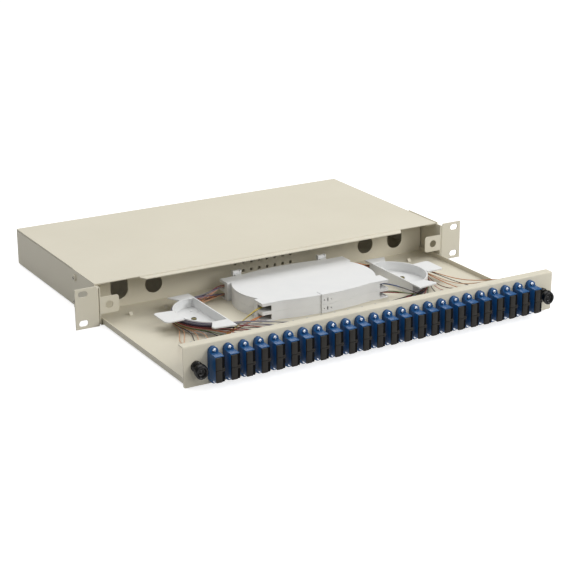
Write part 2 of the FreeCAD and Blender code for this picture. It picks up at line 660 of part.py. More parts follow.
def fastener_grommet(side_name):
    """Push-in grommet: a collar on the panel and a slit barrel behind it."""
    grommet = Piece(f"fastener_grommet_{side_name}")
    grommet.place(SIDES[side_name] * S.fastener_place, S.panel_front)
    collar, thick, bore, neck = S.grommet_collar, S.grommet_thickness, S.grommet_bore, S.grommet_neck
    sheet = S.drawer_sheet
    barb, tip = neck + sheet / 2, neck - sheet / 2
    profile = grommet.sketch("YZ")
    profile.outline([(-thick, bore), (sheet * 2 + S.grommet_barrel, bore), (sheet * 2 + S.grommet_barrel, tip),
                     (sheet * 2, barb), (sheet * 2, neck), (Size(0, "0") + sheet * 0, neck),
                     (Size(0, "0") + sheet * 0, collar), (sheet - thick, collar), (-thick, collar - sheet)])
    grommet.revolve(profile)
    slit = grommet.sketch("XZ", sheet * 2)
    wide = S.grommet_slit / 2
    slit.rectangle(-wide, -barb - sheet, wide, barb + sheet)
    grommet.pocket(slit, S.grommet_barrel + sheet, "XZ")


def fastener_plunger(side_name):
    """Cup-headed plunger, drawn pulled out, whose pin runs through the grommet."""
    plunger = Piece(f"fastener_plunger_{side_name}")
    plunger.place(SIDES[side_name] * S.fastener_place, S.panel_front)
    zero = Size(0, "0")
    collar_front = -S.grommet_thickness
    seat = collar_front - S.plunger_stroke - S.screw_clearance
    front, sheet = seat - S.plunger_head_length, S.drawer_sheet
    profile = plunger.sketch("YZ")
    profile.outline([
        (front + S.plunger_cup_depth, zero), (front + S.plunger_cup_depth, S.plunger_cup - sheet),
        (front, S.plunger_cup), (front, S.plunger_head - sheet), (front + sheet, S.plunger_head),
        (seat - sheet, S.plunger_head), (seat, S.plunger_head - sheet), (seat, S.plunger_neck),
        (collar_front - S.screw_clearance - S.plunger_stroke, S.plunger_pin),
        (sheet * 2 + S.grommet_barrel, S.plunger_pin), (sheet * 3 + S.grommet_barrel, zero)])
    plunger.revolve(profile)


def fibre_guide(side_name):
    """D-shaped spool: a straight wall, a round wall, a raised deck and three overhanging tabs."""
    side = SIDES[side_name]
    wall, radius, middle = S.guide_sheet, S.guide_radius, S.guide_middle
    chord, centre = side * S.guide_chord, side * S.guide_centre
    offset = float(S.guide_chord - S.guide_centre)
    guide = Piece(f"fibre_guide_{side_name}")
    for inset, start, length, cut in ((0, S.tray_top, S.guide_level, False),
                                      (1, S.guide_deck, S.guide_level, True),
                                      (1, S.tray_top - wall, S.guide_floor + wall, True)):
        reach = math.sqrt(float(radius - wall * inset) ** 2 - (offset + float(wall) * inset) ** 2)
        straight = chord + side * wall * inset
        run = Size(reach, f"sqrt(({(radius - wall * inset).formula})^2 - "
                          f"({(S.guide_chord - S.guide_centre + wall * inset).formula})^2)")
        outline = guide.sketch("XY", start)
        bulge = (radius - wall * inset) * side
        outline.outline([(straight, middle - run), (centre + side * (radius - wall * inset), middle),
                         (straight, middle + run)], {0: bulge, 1: bulge})
        if cut:
            guide.pocket(outline, length)
        else:
            guide.pad(outline, length)
    boss = guide.sketch("XY", S.tray_top)
    boss.circle(side * S.guide_screw_place, S.guide_screw_middle, S.guide_boss)
    guide.pad(boss, S.guide_floor + wall / 2)
    add_guide_tabs(guide, side)
    holes = guide.sketch("XY", S.tray_top - wall)
    holes.circle(side * S.guide_screw_place, S.guide_screw_middle, S.small_shank + S.screw_clearance)
    for place, along in ((S.guide_slot_outer, S.guide_slot_first), (S.guide_slot_inner, S.guide_slot_second)):
        across, up = S.guide_slot_length / 2, S.guide_slot_width / 2
        holes.rectangle(side * place - across, along - up, side * place + across, along + up)
    guide.pocket(holes, S.guide_level)


def add_guide_tabs(guide, side):
    """Flat tabs at the top of the walls that keep the fibre down: rear, outer and front."""
    wall, tab = S.guide_sheet, S.guide_tab
    chord, middle, rim = side * S.guide_chord, S.guide_middle, side * (S.guide_centre + S.guide_radius)
    rear, front = middle + S.guide_length / 2 - wall * 2, middle - S.guide_length / 2
    tabs = guide.sketch("XY", S.guide_top - wall)
    end, inner = side * (S.guide_chord + tab + wall * 4), S.guide_radius - tab / 3
    outer, corner = rim + side * tab, S.guide_tab_corner
    shapes = [
        ([(chord, rear), (end, rear - wall), (end - side * wall * 5, middle + inner + wall),
          (chord, middle + inner + wall)], {}),
        ([(chord, front), (end - side * wall, front + wall * 2), (end, front + wall * 4),
          (end - side * wall * 5, middle - inner), (chord, middle - inner)], {}),
        ([(rim - side * wall, middle - tab * 0.8), (outer - side * corner, middle - tab * 0.8),
          (outer, middle - tab * 0.8 + corner), (outer, middle + tab * 0.8 - corner),
          (outer - side * corner, middle + tab * 0.8), (rim - side * wall, middle + tab * 0.7)],
         {1: side * corner, 3: side * corner}),
    ]
    for points, bulges in shapes:
        tabs.outline(points, bulges)
    guide.pad(tabs, wall)


def guide_screws():
    """One screw through the boss of each guide into the drawer's floor."""
    length = S.guide_deck - S.tray_under
    screw = pan_screw(S.small_shank, S.small_head, S.small_head_height, length)
    solids = [aimed(screw, (side * S.guide_screw_place, S.guide_screw_middle, S.guide_deck), (0, 0, 1))
              for side in SIDES.values()]
    feature("guide_screws", Part.makeCompound(solids))


def cassette_outline(drawing, inset):
    """Racetrack with bowed sides, round ends and a squared wing at each corner."""
    across, along = S.cassette_middle_across, S.cassette_middle_along
    end, bow = S.cassette_length / 2 - inset, S.cassette_bow / 2 - inset
    wing_x, wing_y = S.cassette_wing_length / 2 - inset, S.cassette_wing_width / 2 - inset
    root_x, root_y = wing_x - S.wing_inset, wing_y - S.wing_depth + inset * 2
    run_x = wing_x - S.wing_run + inset * 2
    points = [(1, root_x, -1, root_y), (1, end, 0, root_y * 0), (1, root_x, 1, root_y),
              (1, wing_x, 1, root_y), (1, wing_x, 1, wing_y), (1, run_x, 1, wing_y), (0, run_x * 0, 1, bow),
              (-1, run_x, 1, wing_y), (-1, wing_x, 1, wing_y), (-1, wing_x, 1, root_y),
              (-1, root_x, 1, root_y), (-1, end, 0, root_y * 0), (-1, root_x, -1, root_y),
              (-1, wing_x, -1, root_y), (-1, wing_x, -1, wing_y), (-1, run_x, -1, wing_y),
              (0, run_x * 0, -1, bow), (1, run_x, -1, wing_y), (1, wing_x, -1, wing_y), (1, wing_x, -1, root_y)]
    corners = [(across + sx * x, along + sy * y) for sx, x, sy, y in points]
    round_end = arc_radius(root_y, end - root_x)
    long_side = arc_radius(run_x, bow - wing_y)
    bulges = {0: round_end, 1: round_end, 5: long_side, 6: long_side,
              10: round_end, 11: round_end, 15: long_side, 16: long_side}
    return drawing.outline(corners, bulges)


def arc_radius(half_chord, rise):
    """Radius of the arc with the given half chord and rise."""
    return (half_chord * half_chord + rise * rise) / (rise * 2)


def splice_cassette(name, base):
    """Tray with an open top: floor, wall, cable entries at the wings, two hubs, latch and hinge."""
    wall, floor, pitch = S.cassette_wall, S.cassette_floor, S.cassette_pitch - S.stack_gap
    across, along = S.cassette_middle_across, S.cassette_middle_along
    zero = Size(0, "0")
    tray = Piece(f"cassette_{name}")
    tray.pad(cassette_outline(tray.sketch("XY", base), zero), pitch)
    tray.pocket(cassette_outline(tray.sketch("XY", base + floor), wall), pitch)
    entries = tray.sketch("XY", base + (pitch - S.entry_height) / 2)
    for side in (-1, 1):
        for end in (-1, 1):
            corner_x = across + side * (S.cassette_wing_length / 2 + wall)
            corner_y = along + end * (S.cassette_wing_width / 2 + wall)
            xs = sorted((corner_x, corner_x - side * (S.entry_run + wall)), key=float)
            ys = sorted((corner_y, corner_y - end * (S.entry_run + wall)), key=float)
            entries.rectangle(xs[0], ys[0], xs[1], ys[1])
    tray.pocket(entries, S.entry_height)
    for side in (-1, 1):
        hub = tray.sketch("XY", base + floor / 2)
        hub.circle(across + side * S.hub_place, along, S.hub_radius)
        hub.circle(across + side * S.hub_place, along, S.hub_radius - wall)
        tray.pad(hub, S.hub_height)
    screws = tray.sketch("XY", base - floor)
    for side in (-1, 1):
        screws.circle(across + side * S.hub_place, along, S.small_shank + S.screw_clearance)
    tray.pocket(screws, floor * 3)
    add_latch(tray, base, pitch)
    add_hinge_cheeks(tray, base + S.cassette_pitch)
    if name == "upper":
        add_hinge_barrels(tray, base)


def add_latch(tray, base, height):
    """Latch block on the front wall, with a row of slots where it is tall enough."""
    front = S.cassette_middle_along - S.cassette_bow / 2
    latch = tray.sketch("XY", base)
    latch.rectangle(S.latch_place - S.latch_width / 2, front - S.latch_proud,
                    S.latch_place + S.latch_width / 2, front + S.cassette_wall)
    tray.pad(latch, height)
    if float(height) > float(S.latch_slot_tall):
        middle = base + height / 2
        for step, rise in ((-1, S.latch_slot_short), (0, S.latch_slot_tall), (1, S.latch_slot_short)):
            slot = tray.sketch("XZ", front - S.latch_proud * 2)
            place = S.latch_place + S.latch_slot_pitch * step
            slot.rectangle(place - S.latch_slot_width / 2, middle - rise / 2,
                           place + S.latch_slot_width / 2, middle + rise / 2)
            tray.pocket(slot, S.latch_proud * 2 + S.cassette_wall * 2, "XZ")


def hinge_centres():
    """X of the two hinges at the rear of the cassettes."""
    return [S.cassette_middle_across + side * S.hinge_place for side in (-1, 1)]


def add_hinge_cheeks(tray, level):
    """Two cheeks with a pin hole on each side of a hinge barrel, standing on the rear wall."""
    rear = S.cassette_middle_along + S.cassette_wing_width / 2
    axis_up = level + S.hinge_rise
    reach = S.hinge_barrel + S.hinge_clearance
    for x in hinge_centres():
        for side in (-1, 1):
            start = x + side * (S.hinge_width / 2 + S.hinge_clearance)
            near = sorted((start, start + side * S.hinge_cheek), key=float)[0]
            cheek = tray.sketch("YZ", near)
            cheek.outline([(rear - S.cassette_wall / 2, axis_up - reach * 3), (S.hinge_along + reach, axis_up - reach),
                           (S.hinge_along + reach, axis_up + reach), (S.hinge_along - reach, axis_up + reach),
                           (S.hinge_along - reach, level - S.stack_gap * 2),
                           (rear - S.cassette_wall / 2, level - S.stack_gap * 2)])
            cheek.circle(S.hinge_along, axis_up, S.hinge_pin + S.hinge_clearance)
            tray.pad(cheek, S.hinge_cheek, "YZ")


def add_hinge_barrels(piece, level):
    """Barrel with pin stubs on an arm behind the rear wall, for each hinge."""
    rear = S.cassette_middle_along + S.cassette_wing_width / 2
    pin_half = S.hinge_width / 2 + S.hinge_clearance + S.hinge_cheek
    for x in hinge_centres():
        arm = piece.sketch("XY", level)
        arm.rectangle(x - S.hinge_width / 2, rear - S.cassette_wall / 2, x + S.hinge_width / 2, S.hinge_along)
        piece.pad(arm, S.lid_sheet)
        for radius, half in ((S.hinge_barrel, S.hinge_width / 2), (S.hinge_pin, pin_half)):
            round_bar = piece.sketch("YZ", x - half)
            round_bar.circle(S.hinge_along, level + S.hinge_rise, radius)
            piece.pad(round_bar, half * 2, "YZ")


def cassette_lid():
    """Flat lid with the cassettes' outline, a latch lapped over its front and two hinge barrels."""
    lid = Piece("cassette_lid")
    lid.pad(cassette_outline(lid.sketch("XY", S.lid_under), Size(0, "0")), S.lid_sheet)
    add_latch(lid, S.lid_under, S.lid_sheet)
    front = S.cassette_middle_along - S.cassette_bow / 2
    lap = lid.sketch("XY", S.lid_under)
    lap.rectangle(S.latch_place - S.latch_width / 2, front - S.latch_proud,
                  S.latch_place + S.latch_width / 2, front + S.latch_lap)
    lid.pad(lap, S.lid_sheet * 3 / 2)
    add_hinge_barrels(lid, S.lid_under)


def splice_comb(name, base):
    """Row of ribs on the cassette's floor that grips the splice sleeves."""
    comb = Piece(f"splice_comb_{name}")
    across, along = S.cassette_middle_across, S.cassette_middle_along
    foot, half = base + S.cassette_floor, S.comb_length / 2
    first = along - S.comb_pitch * (COMB_SLOTS / 2)
    plate = comb.sketch("XY", foot)
    plate.rectangle(across - half, first - S.comb_rib / 2, across + half,
                    first + S.comb_pitch * COMB_SLOTS + S.comb_rib / 2)
    comb.pad(plate, S.comb_base)
    rib = comb.sketch("XY", foot)
    rib.rectangle(across - half, first - S.comb_rib / 2, across + half, first + S.comb_rib / 2)
    comb.repeat(comb.pad(rib, S.comb_height), "Y_Axis", S.comb_pitch, COMB_SLOTS + 1)


def splice_sleeves(name, base):
    """Two layers of splice protection sleeves in the comb's slots."""
    solids = []
    start = S.cassette_middle_across - S.sleeve_length / 2
    for slot in range(COMB_SLOTS):
        along = S.cassette_middle_along + S.comb_pitch * (slot - (COMB_SLOTS - 1) / 2)
        for layer in range(2):
            up = base + S.cassette_floor + S.comb_base + S.sleeve_radius * (1 + 2 * layer)
            end = Vector(float(start), float(along), float(up))
            solids.append(mitred_tube([end, end + Vector(float(S.sleeve_length), 0, 0)],
                                      float(S.sleeve_radius), FASTENER_SIDES))
    feature(f"splice_sleeves_{name}", Part.makeCompound(solids))


def cassette_screws():
    """Two screws inside the hubs that hold the lower cassette to the drawer's floor."""
    seat = S.tray_top + S.cassette_floor
    screw = pan_screw(S.small_shank, S.small_head, S.small_head_height, seat - S.tray_under)
    solids = [aimed(screw, (S.cassette_middle_across + side * S.hub_place, S.cassette_middle_along, seat), (0, 0, 1))
              for side in (-1, 1)]
    feature("cassette_screws", Part.makeCompound(solids))


def wrap_point(side, angle):
    """A point on the floor at an angle round a fibre guide, from its outer side towards the rear."""
    turn = math.radians(angle)
    radius = float(S.guide_radius + S.bundle_radius + S.bundle_wrap_gap)
    level = S.tray_top + S.bundle_gap + S.bundle_radius
    return Vector(side * (float(S.guide_centre) + radius * math.cos(turn)),
                  float(S.guide_middle) + radius * math.sin(turn), float(level))


def mitred_tube(points, radius, sides):
    """Few-sided tube along straight runs that meet in mitres."""
    runs = [(ahead - here).normalize() for here, ahead in zip(points, points[1:])]
    across = runs[0].cross(Vector(0, 0, 1)).normalize()
    corners = ring(points[0], across, runs[0].cross(across), radius, sides)
    rings = [corners]
    for i, run in enumerate(runs):
        normal = run + (runs[i + 1] if i + 1 < len(runs) else run)
        corners = [c + run * ((points[i + 1] - c).dot(normal) / run.dot(normal)) for c in corners]
        rings.append(corners)
    return flat_sided(rings)


# Angles round a guide that each bundle passes, from the cassette to where it fans out
WRAPS = {"rear": (88, 73, 58, 43, 28, 13, -2, -17, -32), "front": (-95, -82, -70, -58, -46)}


def pigtail_bundle(side_name, end_name):
    """Bundle from a wing of the lower cassette and round the wall of that side's guide."""
    side, end = SIDES[side_name], {"rear": 1, "front": -1}[end_name]
    entry = S.tray_top + (S.cassette_pitch - S.stack_gap) / 2
    start = Vector(
        float(S.cassette_middle_across + side * (S.cassette_wing_length / 2 - S.bundle_entry)),
        float(S.cassette_middle_along + end * (S.cassette_wing_width / 2 - S.bundle_entry)), float(entry))
    route = [start] + [wrap_point(side, angle) for angle in WRAPS[end_name]]
    feature(f"pigtails_{side_name}_{end_name}", mitred_tube(route, float(S.bundle_radius), BUNDLE_SIDES))


def pigtail_fan(side_name):
    """Single fibres from the end of the bundles to the boots of that side's connectors."""
    side, radius, step = SIDES[side_name], float(S.fibre_radius), float(S.fibre_step)
    tip = float(S.panel_back + S.adapter_rear / 2 + S.plug_body + S.plug_boot)
    floor = float(S.tray_top + (S.bundle_radius + S.bundle_gap) * 2) + radius
    knee = float(S.guide_middle - S.guide_length / 2 - S.fan_knee)
    places = sorted(side * float(x) for x in adapter_centres() if side * float(x) > 0)
    solids = []
    for i, place in enumerate(places):
        across = float(S.fan_place + S.fibre_spread * i)
        along = float(S.fan_middle - S.fibre_spread * i / 5)
        for row, level in enumerate((-1, 1)):
            start = Vector(side * across, along, floor + step * (2 * row + i % 2))
            end = Vector(side * place, tip + radius, float(S.adapter_level + level * S.port_pitch / 2))
            bend = start + (end - start) * ((along - knee) / (along - tip - radius))
            bend.z = start.z
            solids.append(mitred_tube([start, bend, end], radius, FIBRE_SIDES))
    feature(f"pigtail_fibres_{side_name}", Part.makeCompound(solids))


def build():
    """Build every sub-part."""
    derive_levels()
    housing_shell()
    top_cover()
    for side_name in SIDES:
        ear_bracket(side_name)
        fastener_grommet(side_name)
        fastener_plunger(side_name)
        fibre_guide(side_name)
    drawer_tray()
    splice_cassette("lower", S.tray_top)
    splice_cassette("upper", S.upper_cassette)
    cassette_lid()
    for name, base in (("lower", S.tray_top), ("upper", S.upper_cassette)):
        splice_comb(name, base)
        splice_sleeves(name, base)
    cassette_screws()
    first = adapter_row()
    doc.recompute()
    copy_adapters(first)
    bracket_screws()
    guide_screws()
    adapter_screws()
    for name, level in (("upper", 1), ("lower", -1)):
        cap_row(name, level)
        plug_row(name, level)
    for side_name in SIDES:
        pigtail_bundle(side_name, "rear")
        pigtail_bundle(side_name, "front")
        pigtail_fan(side_name)


def check_and_export():
    """Stop on any failed object, then write one file for each sub-part."""
    doc.recompute()
    for item in doc.Objects:
        if {"Invalid", "Error"} & set(item.State):
            raise RuntimeError(f"{item.Name} failed: {item.State}")
    os.makedirs("parts", exist_ok=True)
    for item in doc.Objects:
        if item.TypeId not in ("PartDesign::Body", "Part::Feature"):
            continue
        if item.Shape.isNull() or not item.Shape.isValid():
            raise RuntimeError(f"{item.Label} has no valid shape")
        item.Shape.exportStep(os.path.join("parts", f"{item.Label}.step"))


build()
check_and_export()
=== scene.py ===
"""Looks of the fibre splice box: coated steel, moulded plastic, capped adapters and coloured fibre.

Metres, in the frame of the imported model: +X along the width, the front faces -Y, +Z up.
"""

import json
import logging
import math
import random
from dataclasses import dataclass, field
from enum import Enum
from typing import Callable, Iterable, Sequence

import bmesh
import bpy
from mathutils import Matrix, Vector

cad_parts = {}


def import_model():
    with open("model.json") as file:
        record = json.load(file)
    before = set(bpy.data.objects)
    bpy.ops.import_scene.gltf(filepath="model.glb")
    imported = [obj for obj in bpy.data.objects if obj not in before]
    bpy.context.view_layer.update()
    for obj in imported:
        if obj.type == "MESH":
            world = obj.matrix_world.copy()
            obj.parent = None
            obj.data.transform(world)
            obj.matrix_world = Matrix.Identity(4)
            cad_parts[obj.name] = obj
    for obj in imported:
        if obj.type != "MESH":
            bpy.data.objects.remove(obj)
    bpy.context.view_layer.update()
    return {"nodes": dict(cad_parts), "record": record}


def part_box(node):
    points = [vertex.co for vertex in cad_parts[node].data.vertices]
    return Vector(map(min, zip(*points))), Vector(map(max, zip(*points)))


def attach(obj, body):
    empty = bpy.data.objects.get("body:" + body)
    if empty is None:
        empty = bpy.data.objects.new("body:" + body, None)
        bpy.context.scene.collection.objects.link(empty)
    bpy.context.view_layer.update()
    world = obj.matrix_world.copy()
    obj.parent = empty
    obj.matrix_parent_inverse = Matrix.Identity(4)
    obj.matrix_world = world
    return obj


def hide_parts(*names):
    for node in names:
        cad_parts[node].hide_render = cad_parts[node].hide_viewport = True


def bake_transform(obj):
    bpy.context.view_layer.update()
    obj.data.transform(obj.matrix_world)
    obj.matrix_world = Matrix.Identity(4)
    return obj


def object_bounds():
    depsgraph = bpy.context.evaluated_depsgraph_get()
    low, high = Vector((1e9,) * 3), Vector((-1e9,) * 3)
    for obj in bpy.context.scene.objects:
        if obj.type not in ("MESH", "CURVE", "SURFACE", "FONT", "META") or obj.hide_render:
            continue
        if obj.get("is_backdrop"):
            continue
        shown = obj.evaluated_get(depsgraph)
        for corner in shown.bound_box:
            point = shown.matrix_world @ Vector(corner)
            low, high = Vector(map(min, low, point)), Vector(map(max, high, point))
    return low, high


LOG = logging.getLogger("splice_box")
MM = 0.001
# Faces marked with this take a piece's second finish: the near-black painted shade in recesses.
SECOND_FINISH = "second_finish"
SOFT_STEPS = 2
Point = Sequence[float]


class Side(Enum):
    """The two ends of the box."""

    LEFT = -1
    RIGHT = 1


class Way(Enum):
    """Where a fibre enters its cassette."""

    REAR = 1
    FRONT = -1


def linear(red: int, green: int, blue: int) -> tuple[float, float, float, float]:
    """Turn a display colour from 0 to 255 into linear values.

    Args:
        red: Red as displayed.
        green: Green as displayed.
        blue: Blue as displayed.

    Returns:
        Red, green, blue and alpha for a shader socket.
    """
    values = []
    for shown in (red, green, blue):
        share = shown / 255
        values.append(share / 12.92 if share <= 0.04045 else ((share + 0.055) / 1.055) ** 2.4)
    return (*values, 1.0)


class Shader:
    """A material under construction, with its Principled shader."""

    def __init__(self, name: str) -> None:
        """Start a node tree with one Principled shader.

        Args:
            name: Name of the material.
        """
        self.material = bpy.data.materials.new(name)
        self.material.use_nodes = True
        self.tree = self.material.node_tree
        self.principled = self.tree.nodes["Principled BSDF"]
        self.place = self.tree.nodes.new("ShaderNodeTexCoord").outputs["Object"]

    def node(self, kind: str, **settings: object) -> bpy.types.Node:
        """Add a node.

        Args:
            kind: Type of the node.
            settings: Properties to set on it.

        Returns:
            The node.
        """
        made = self.tree.nodes.new(kind)
        for name, value in settings.items():
            setattr(made, name, value)
        return made

    def join(self, start: bpy.types.NodeSocket, end: bpy.types.NodeSocket) -> None:
        """Link two sockets."""
        self.tree.links.new(start, end)

    def fix(self, socket: str, value: object) -> None:
        """Set one of the Principled shader's own sockets."""
        self.principled.inputs[socket].default_value = value

    def noise(self, scale: float, detail: float = 2.0,
              stretch: Point = (1, 1, 1)) -> bpy.types.NodeSocket:
        """Add a noise pattern on the piece's own coordinates.

        Args:
            scale: Grains in a metre.
            detail: Octaves of finer grain.
            stretch: Scale of each axis, for a directional grain.

        Returns:
            The pattern's value socket, from 0 to 1.
        """
        mapping = self.node("ShaderNodeMapping")
        mapping.inputs["Scale"].default_value = stretch
        pattern = self.node("ShaderNodeTexNoise")
        pattern.inputs["Scale"].default_value = scale
        pattern.inputs["Detail"].default_value = detail
        self.join(self.place, mapping.inputs["Vector"])
        self.join(mapping.outputs["Vector"], pattern.inputs["Vector"])
        return pattern.outputs["Fac"]

    def tint(self, value: bpy.types.NodeSocket, dark: Point, light: Point) -> None:
        """Colour the surface between two tones.

        Args:
            value: The pattern.
            dark: Colour at its lowest.
            light: Colour at its highest.
        """
        mix = self.node("ShaderNodeMix", data_type="RGBA")
        mix.inputs["A"].default_value = dark
        mix.inputs["B"].default_value = light
        self.join(value, mix.inputs["Factor"])
        self.join(mix.outputs["Result"], self.principled.inputs["Base Color"])

    def gloss(self, value: bpy.types.NodeSocket, low: float, high: float) -> None:
        """Vary the roughness.

        Args:
            value: The pattern.
            low: Roughness at its lowest.
            high: Roughness at its highest.
        """
        ramp = self.node("ShaderNodeMapRange")
        ramp.inputs["To Min"].default_value = low
        ramp.inputs["To Max"].default_value = high
        self.join(value, ramp.inputs["Value"])
        self.join(ramp.outputs["Result"], self.principled.inputs["Roughness"])

    def relief(self, value: bpy.types.NodeSocket, depth: float, strength: float,
               edge: float) -> None:
        """Raise the surface.

        Args:
            value: The pattern.
            depth: Its height, in metres.
            strength: How much of it shows.
            edge: Radius of the edges that are rounded in the shading, in metres, or 0 for none.
        """
        bump = self.node("ShaderNodeBump")
        if edge:
            rounded = self.node("ShaderNodeBevel", samples=6)
            rounded.inputs["Radius"].default_value = edge
            self.join(rounded.outputs["Normal"], bump.inputs["Normal"])
        bump.inputs["Distance"].default_value = depth
        bump.inputs["Strength"].default_value = strength
        self.join(value, bump.inputs["Height"])
        self.join(bump.outputs["Normal"], self.principled.inputs["Normal"])


@dataclass(frozen=True)
class Finish:
    """A surface with two tones in clouds, a varied gloss and, with a grain, a fine relief.

    Clouds and grains are counted in a metre. Depths are in metres.
    """

    name: str
    dark: Point
    light: Point
    gloss: tuple[float, float]
    cloud: float = 45.0
    cloud_detail: float = 2.0
    gloss_grain: float = 150.0
    grain: float = 0.0
    grain_detail: float = 2.0
    grain_stretch: Point = (1, 1, 1)
    grain_depth: float = 0.1 * MM
    grain_strength: float = 0.12
    edge: float = 0.0

    def sockets(self) -> dict[str, object]:
        """Values of the Principled shader's own sockets."""
        return {}

    def build(self) -> bpy.types.Material:
        """Make the material.

        Returns:
            The material.
        """
        shader = Shader(self.name)
        shader.tint(shader.noise(self.cloud, self.cloud_detail), self.dark, self.light)
        shader.gloss(shader.noise(self.gloss_grain), *self.gloss)
        for socket, value in self.sockets().items():
            shader.fix(socket, value)
        if self.grain:
            pattern = shader.noise(self.grain, self.grain_detail, self.grain_stretch)
            shader.relief(pattern, self.grain_depth, self.grain_strength, self.edge)
        return shader.material


@dataclass(frozen=True)
class PowderCoat(Finish):
    """Fine-textured powder coat on folded steel."""

    name: str = "powder_coat"
    dark: Point = linear(206, 200, 181)
    light: Point = linear(217, 211, 193)
    gloss: tuple[float, float] = (0.46, 0.60)
    cloud: float = 9.0
    cloud_detail: float = 3.0
    gloss_grain: float = 350.0
    grain: float = 1400.0
    grain_detail: float = 3.0
    grain_depth: float = 0.12 * MM
    grain_strength: float = 0.25
    edge: float = 0.4 * MM
    specular: float = 0.4

    def sockets(self) -> dict[str, object]:
        """Values of the Principled shader's own sockets."""
        return {"Specular IOR Level": self.specular}


@dataclass(frozen=True)
class MouldedPlastic(Finish):
    """Injection-moulded plastic with a satin skin."""

    grain: float = 900.0
    specular: float = 0.5
    translucent: float = 0.0
    scatter: float = 2 * MM

    def sockets(self) -> dict[str, object]:
        """Values of the Principled shader's own sockets."""
        return {"Specular IOR Level": self.specular, "Subsurface Weight": self.translucent,
                "Subsurface Radius": (self.scatter,) * 3}


@dataclass(frozen=True)
class PlatedSteel(Finish):
    """Zinc-plated steel with faint turning marks."""

    name: str = "zinc_steel"
    dark: Point = linear(150, 148, 140)
    light: Point = linear(206, 204, 196)
    gloss: tuple[float, float] = (0.22, 0.42)
    cloud: float = 700.0
    cloud_detail: float = 3.0
    gloss_grain: float = 1800.0
    grain: float = 2600.0
    grain_stretch: Point = (1, 1, 6)
    grain_depth: float = 0.05 * MM
    grain_strength: float = 0.2

    def sockets(self) -> dict[str, object]:
        """Values of the Principled shader's own sockets."""
        return {"Metallic": 1.0}


@dataclass(frozen=True)
class FibreJacket(Finish):
    """Soft jacket of one pigtail."""

    gloss: tuple[float, float] = (0.32, 0.48)
    cloud: float = 260.0
    gloss_grain: float = 900.0
    translucent: float = 0.06
    scatter: float = 1 * MM

    def sockets(self) -> dict[str, object]:
        """Values of the Principled shader's own sockets."""
        return {"Subsurface Weight": self.translucent, "Subsurface Radius": (self.scatter,) * 3}


@dataclass(frozen=True)
class ClearSleeve(Finish):
    """Shrunk clear sleeve with a steel rod inside, seen as a glossy grey skin."""

    name: str = "clear_sleeve"
    dark: Point = linear(178, 176, 168)
    light: Point = linear(222, 220, 212)
    gloss: tuple[float, float] = (0.08, 0.2)
    cloud: float = 300.0
    gloss_grain: float = 500.0
    clear: float = 0.35

    def sockets(self) -> dict[str, object]:
        """Values of the Principled shader's own sockets."""
        return {"Transmission Weight": self.clear}


JACKETS = {
    "blue": linear(52, 84, 140),
    "orange": linear(208, 126, 66),
    "green": linear(112, 138, 84),
    "brown": linear(110, 72, 58),
    "grey": linear(134, 134, 140),
    "red": linear(152, 52, 48),
    "black": linear(44, 42, 46),
    "yellow": linear(196, 176, 92),
    "violet": linear(92, 78, 108),
    "rose": linear(206, 150, 140),
    "peach": linear(216, 166, 128),
}


class Finishes:
    """Every finish of the box, made once."""

    JACKET_SHADE = 0.8

    def __init__(self) -> None:
        """Build the materials."""
        self.coat = PowderCoat().build()
        self.steel = PlatedSteel().build()
        self.bright_steel = PlatedSteel("bright_zinc", linear(206, 212, 222),
                                        linear(238, 242, 248), (0.2, 0.3)).build()
        self.olive_steel = PlatedSteel("olive_zinc", linear(88, 82, 56),
                                       linear(140, 132, 98), (0.2, 0.36)).build()
        self.blue = MouldedPlastic("blue_plastic", linear(22, 72, 122), linear(32, 90, 144),
                                   (0.24, 0.38), specular=0.35).build()
        self.black = MouldedPlastic("black_plastic", linear(34, 32, 29), linear(44, 41, 37),
                                    (0.42, 0.58), gloss_grain=700 / 6, grain=700.0,
                                    grain_strength=0.3, specular=0.2).build()
        # Near-black polished plastic of the plungers and grommets, also laid in the screws' cross
        # recesses as painted shade.
        self.polished_and_recess_shade = MouldedPlastic("polished_black", linear(8, 8, 9), linear(12, 12, 13),
                                       (0.22, 0.34), specular=0.3).build()
        # Near-black painted shade for the caps' stepped-back faces.
        self.recess = MouldedPlastic("recess_black", linear(7, 7, 8), linear(10, 10, 11),
                                     (0.5, 0.6), specular=0.05).build()
        self.white = MouldedPlastic("white_plastic", linear(222, 223, 223), linear(230, 230, 228),
                                    (0.34, 0.48), translucent=0.03).build()
        self.sleeve = ClearSleeve().build()
        self.jackets = []
        for name, colour in JACKETS.items():
            deeper = (*(value * self.JACKET_SHADE for value in colour[:3]), 1.0)
            self.jackets.append(FibreJacket(f"jacket_{name}", deeper, colour).build())


def new_object(name: str, mesh: bpy.types.Mesh,
               material: bpy.types.Material | None) -> bpy.types.Object:
    """Link a mesh to the scene.

    Args:
        name: Name of the object.
        mesh: Its mesh.
        material: Its finish, or None to leave what the mesh has.

    Returns:
        The object.
    """
    made = bpy.data.objects.new(name, mesh)
    bpy.context.scene.collection.objects.link(made)
    if material is not None:
        mesh.materials.clear()
        mesh.materials.append(material)
    return made


def settled(piece: bpy.types.Object) -> None:
    """Turn a piece with live modifiers into a plain mesh.

    Args:
        piece: The piece.
    """
    graph = bpy.context.evaluated_depsgraph_get()
    mesh = bpy.data.meshes.new_from_object(piece.evaluated_get(graph),
                                           preserve_all_data_layers=True, depsgraph=graph)
    piece.modifiers.clear()
    piece.data = mesh


def cut(piece: bpy.types.Object, tool: bpy.types.Object) -> None:
    """Take a tool's blocks, which may overlap, out of a piece.

    Args:
        piece: What is cut.
        tool: What is taken away, which is used up.
    """
    boolean = piece.modifiers.new("cut", "BOOLEAN")
    boolean.object = tool
    boolean.use_self = True
    settled(piece)
    bpy.data.objects.remove(tool)


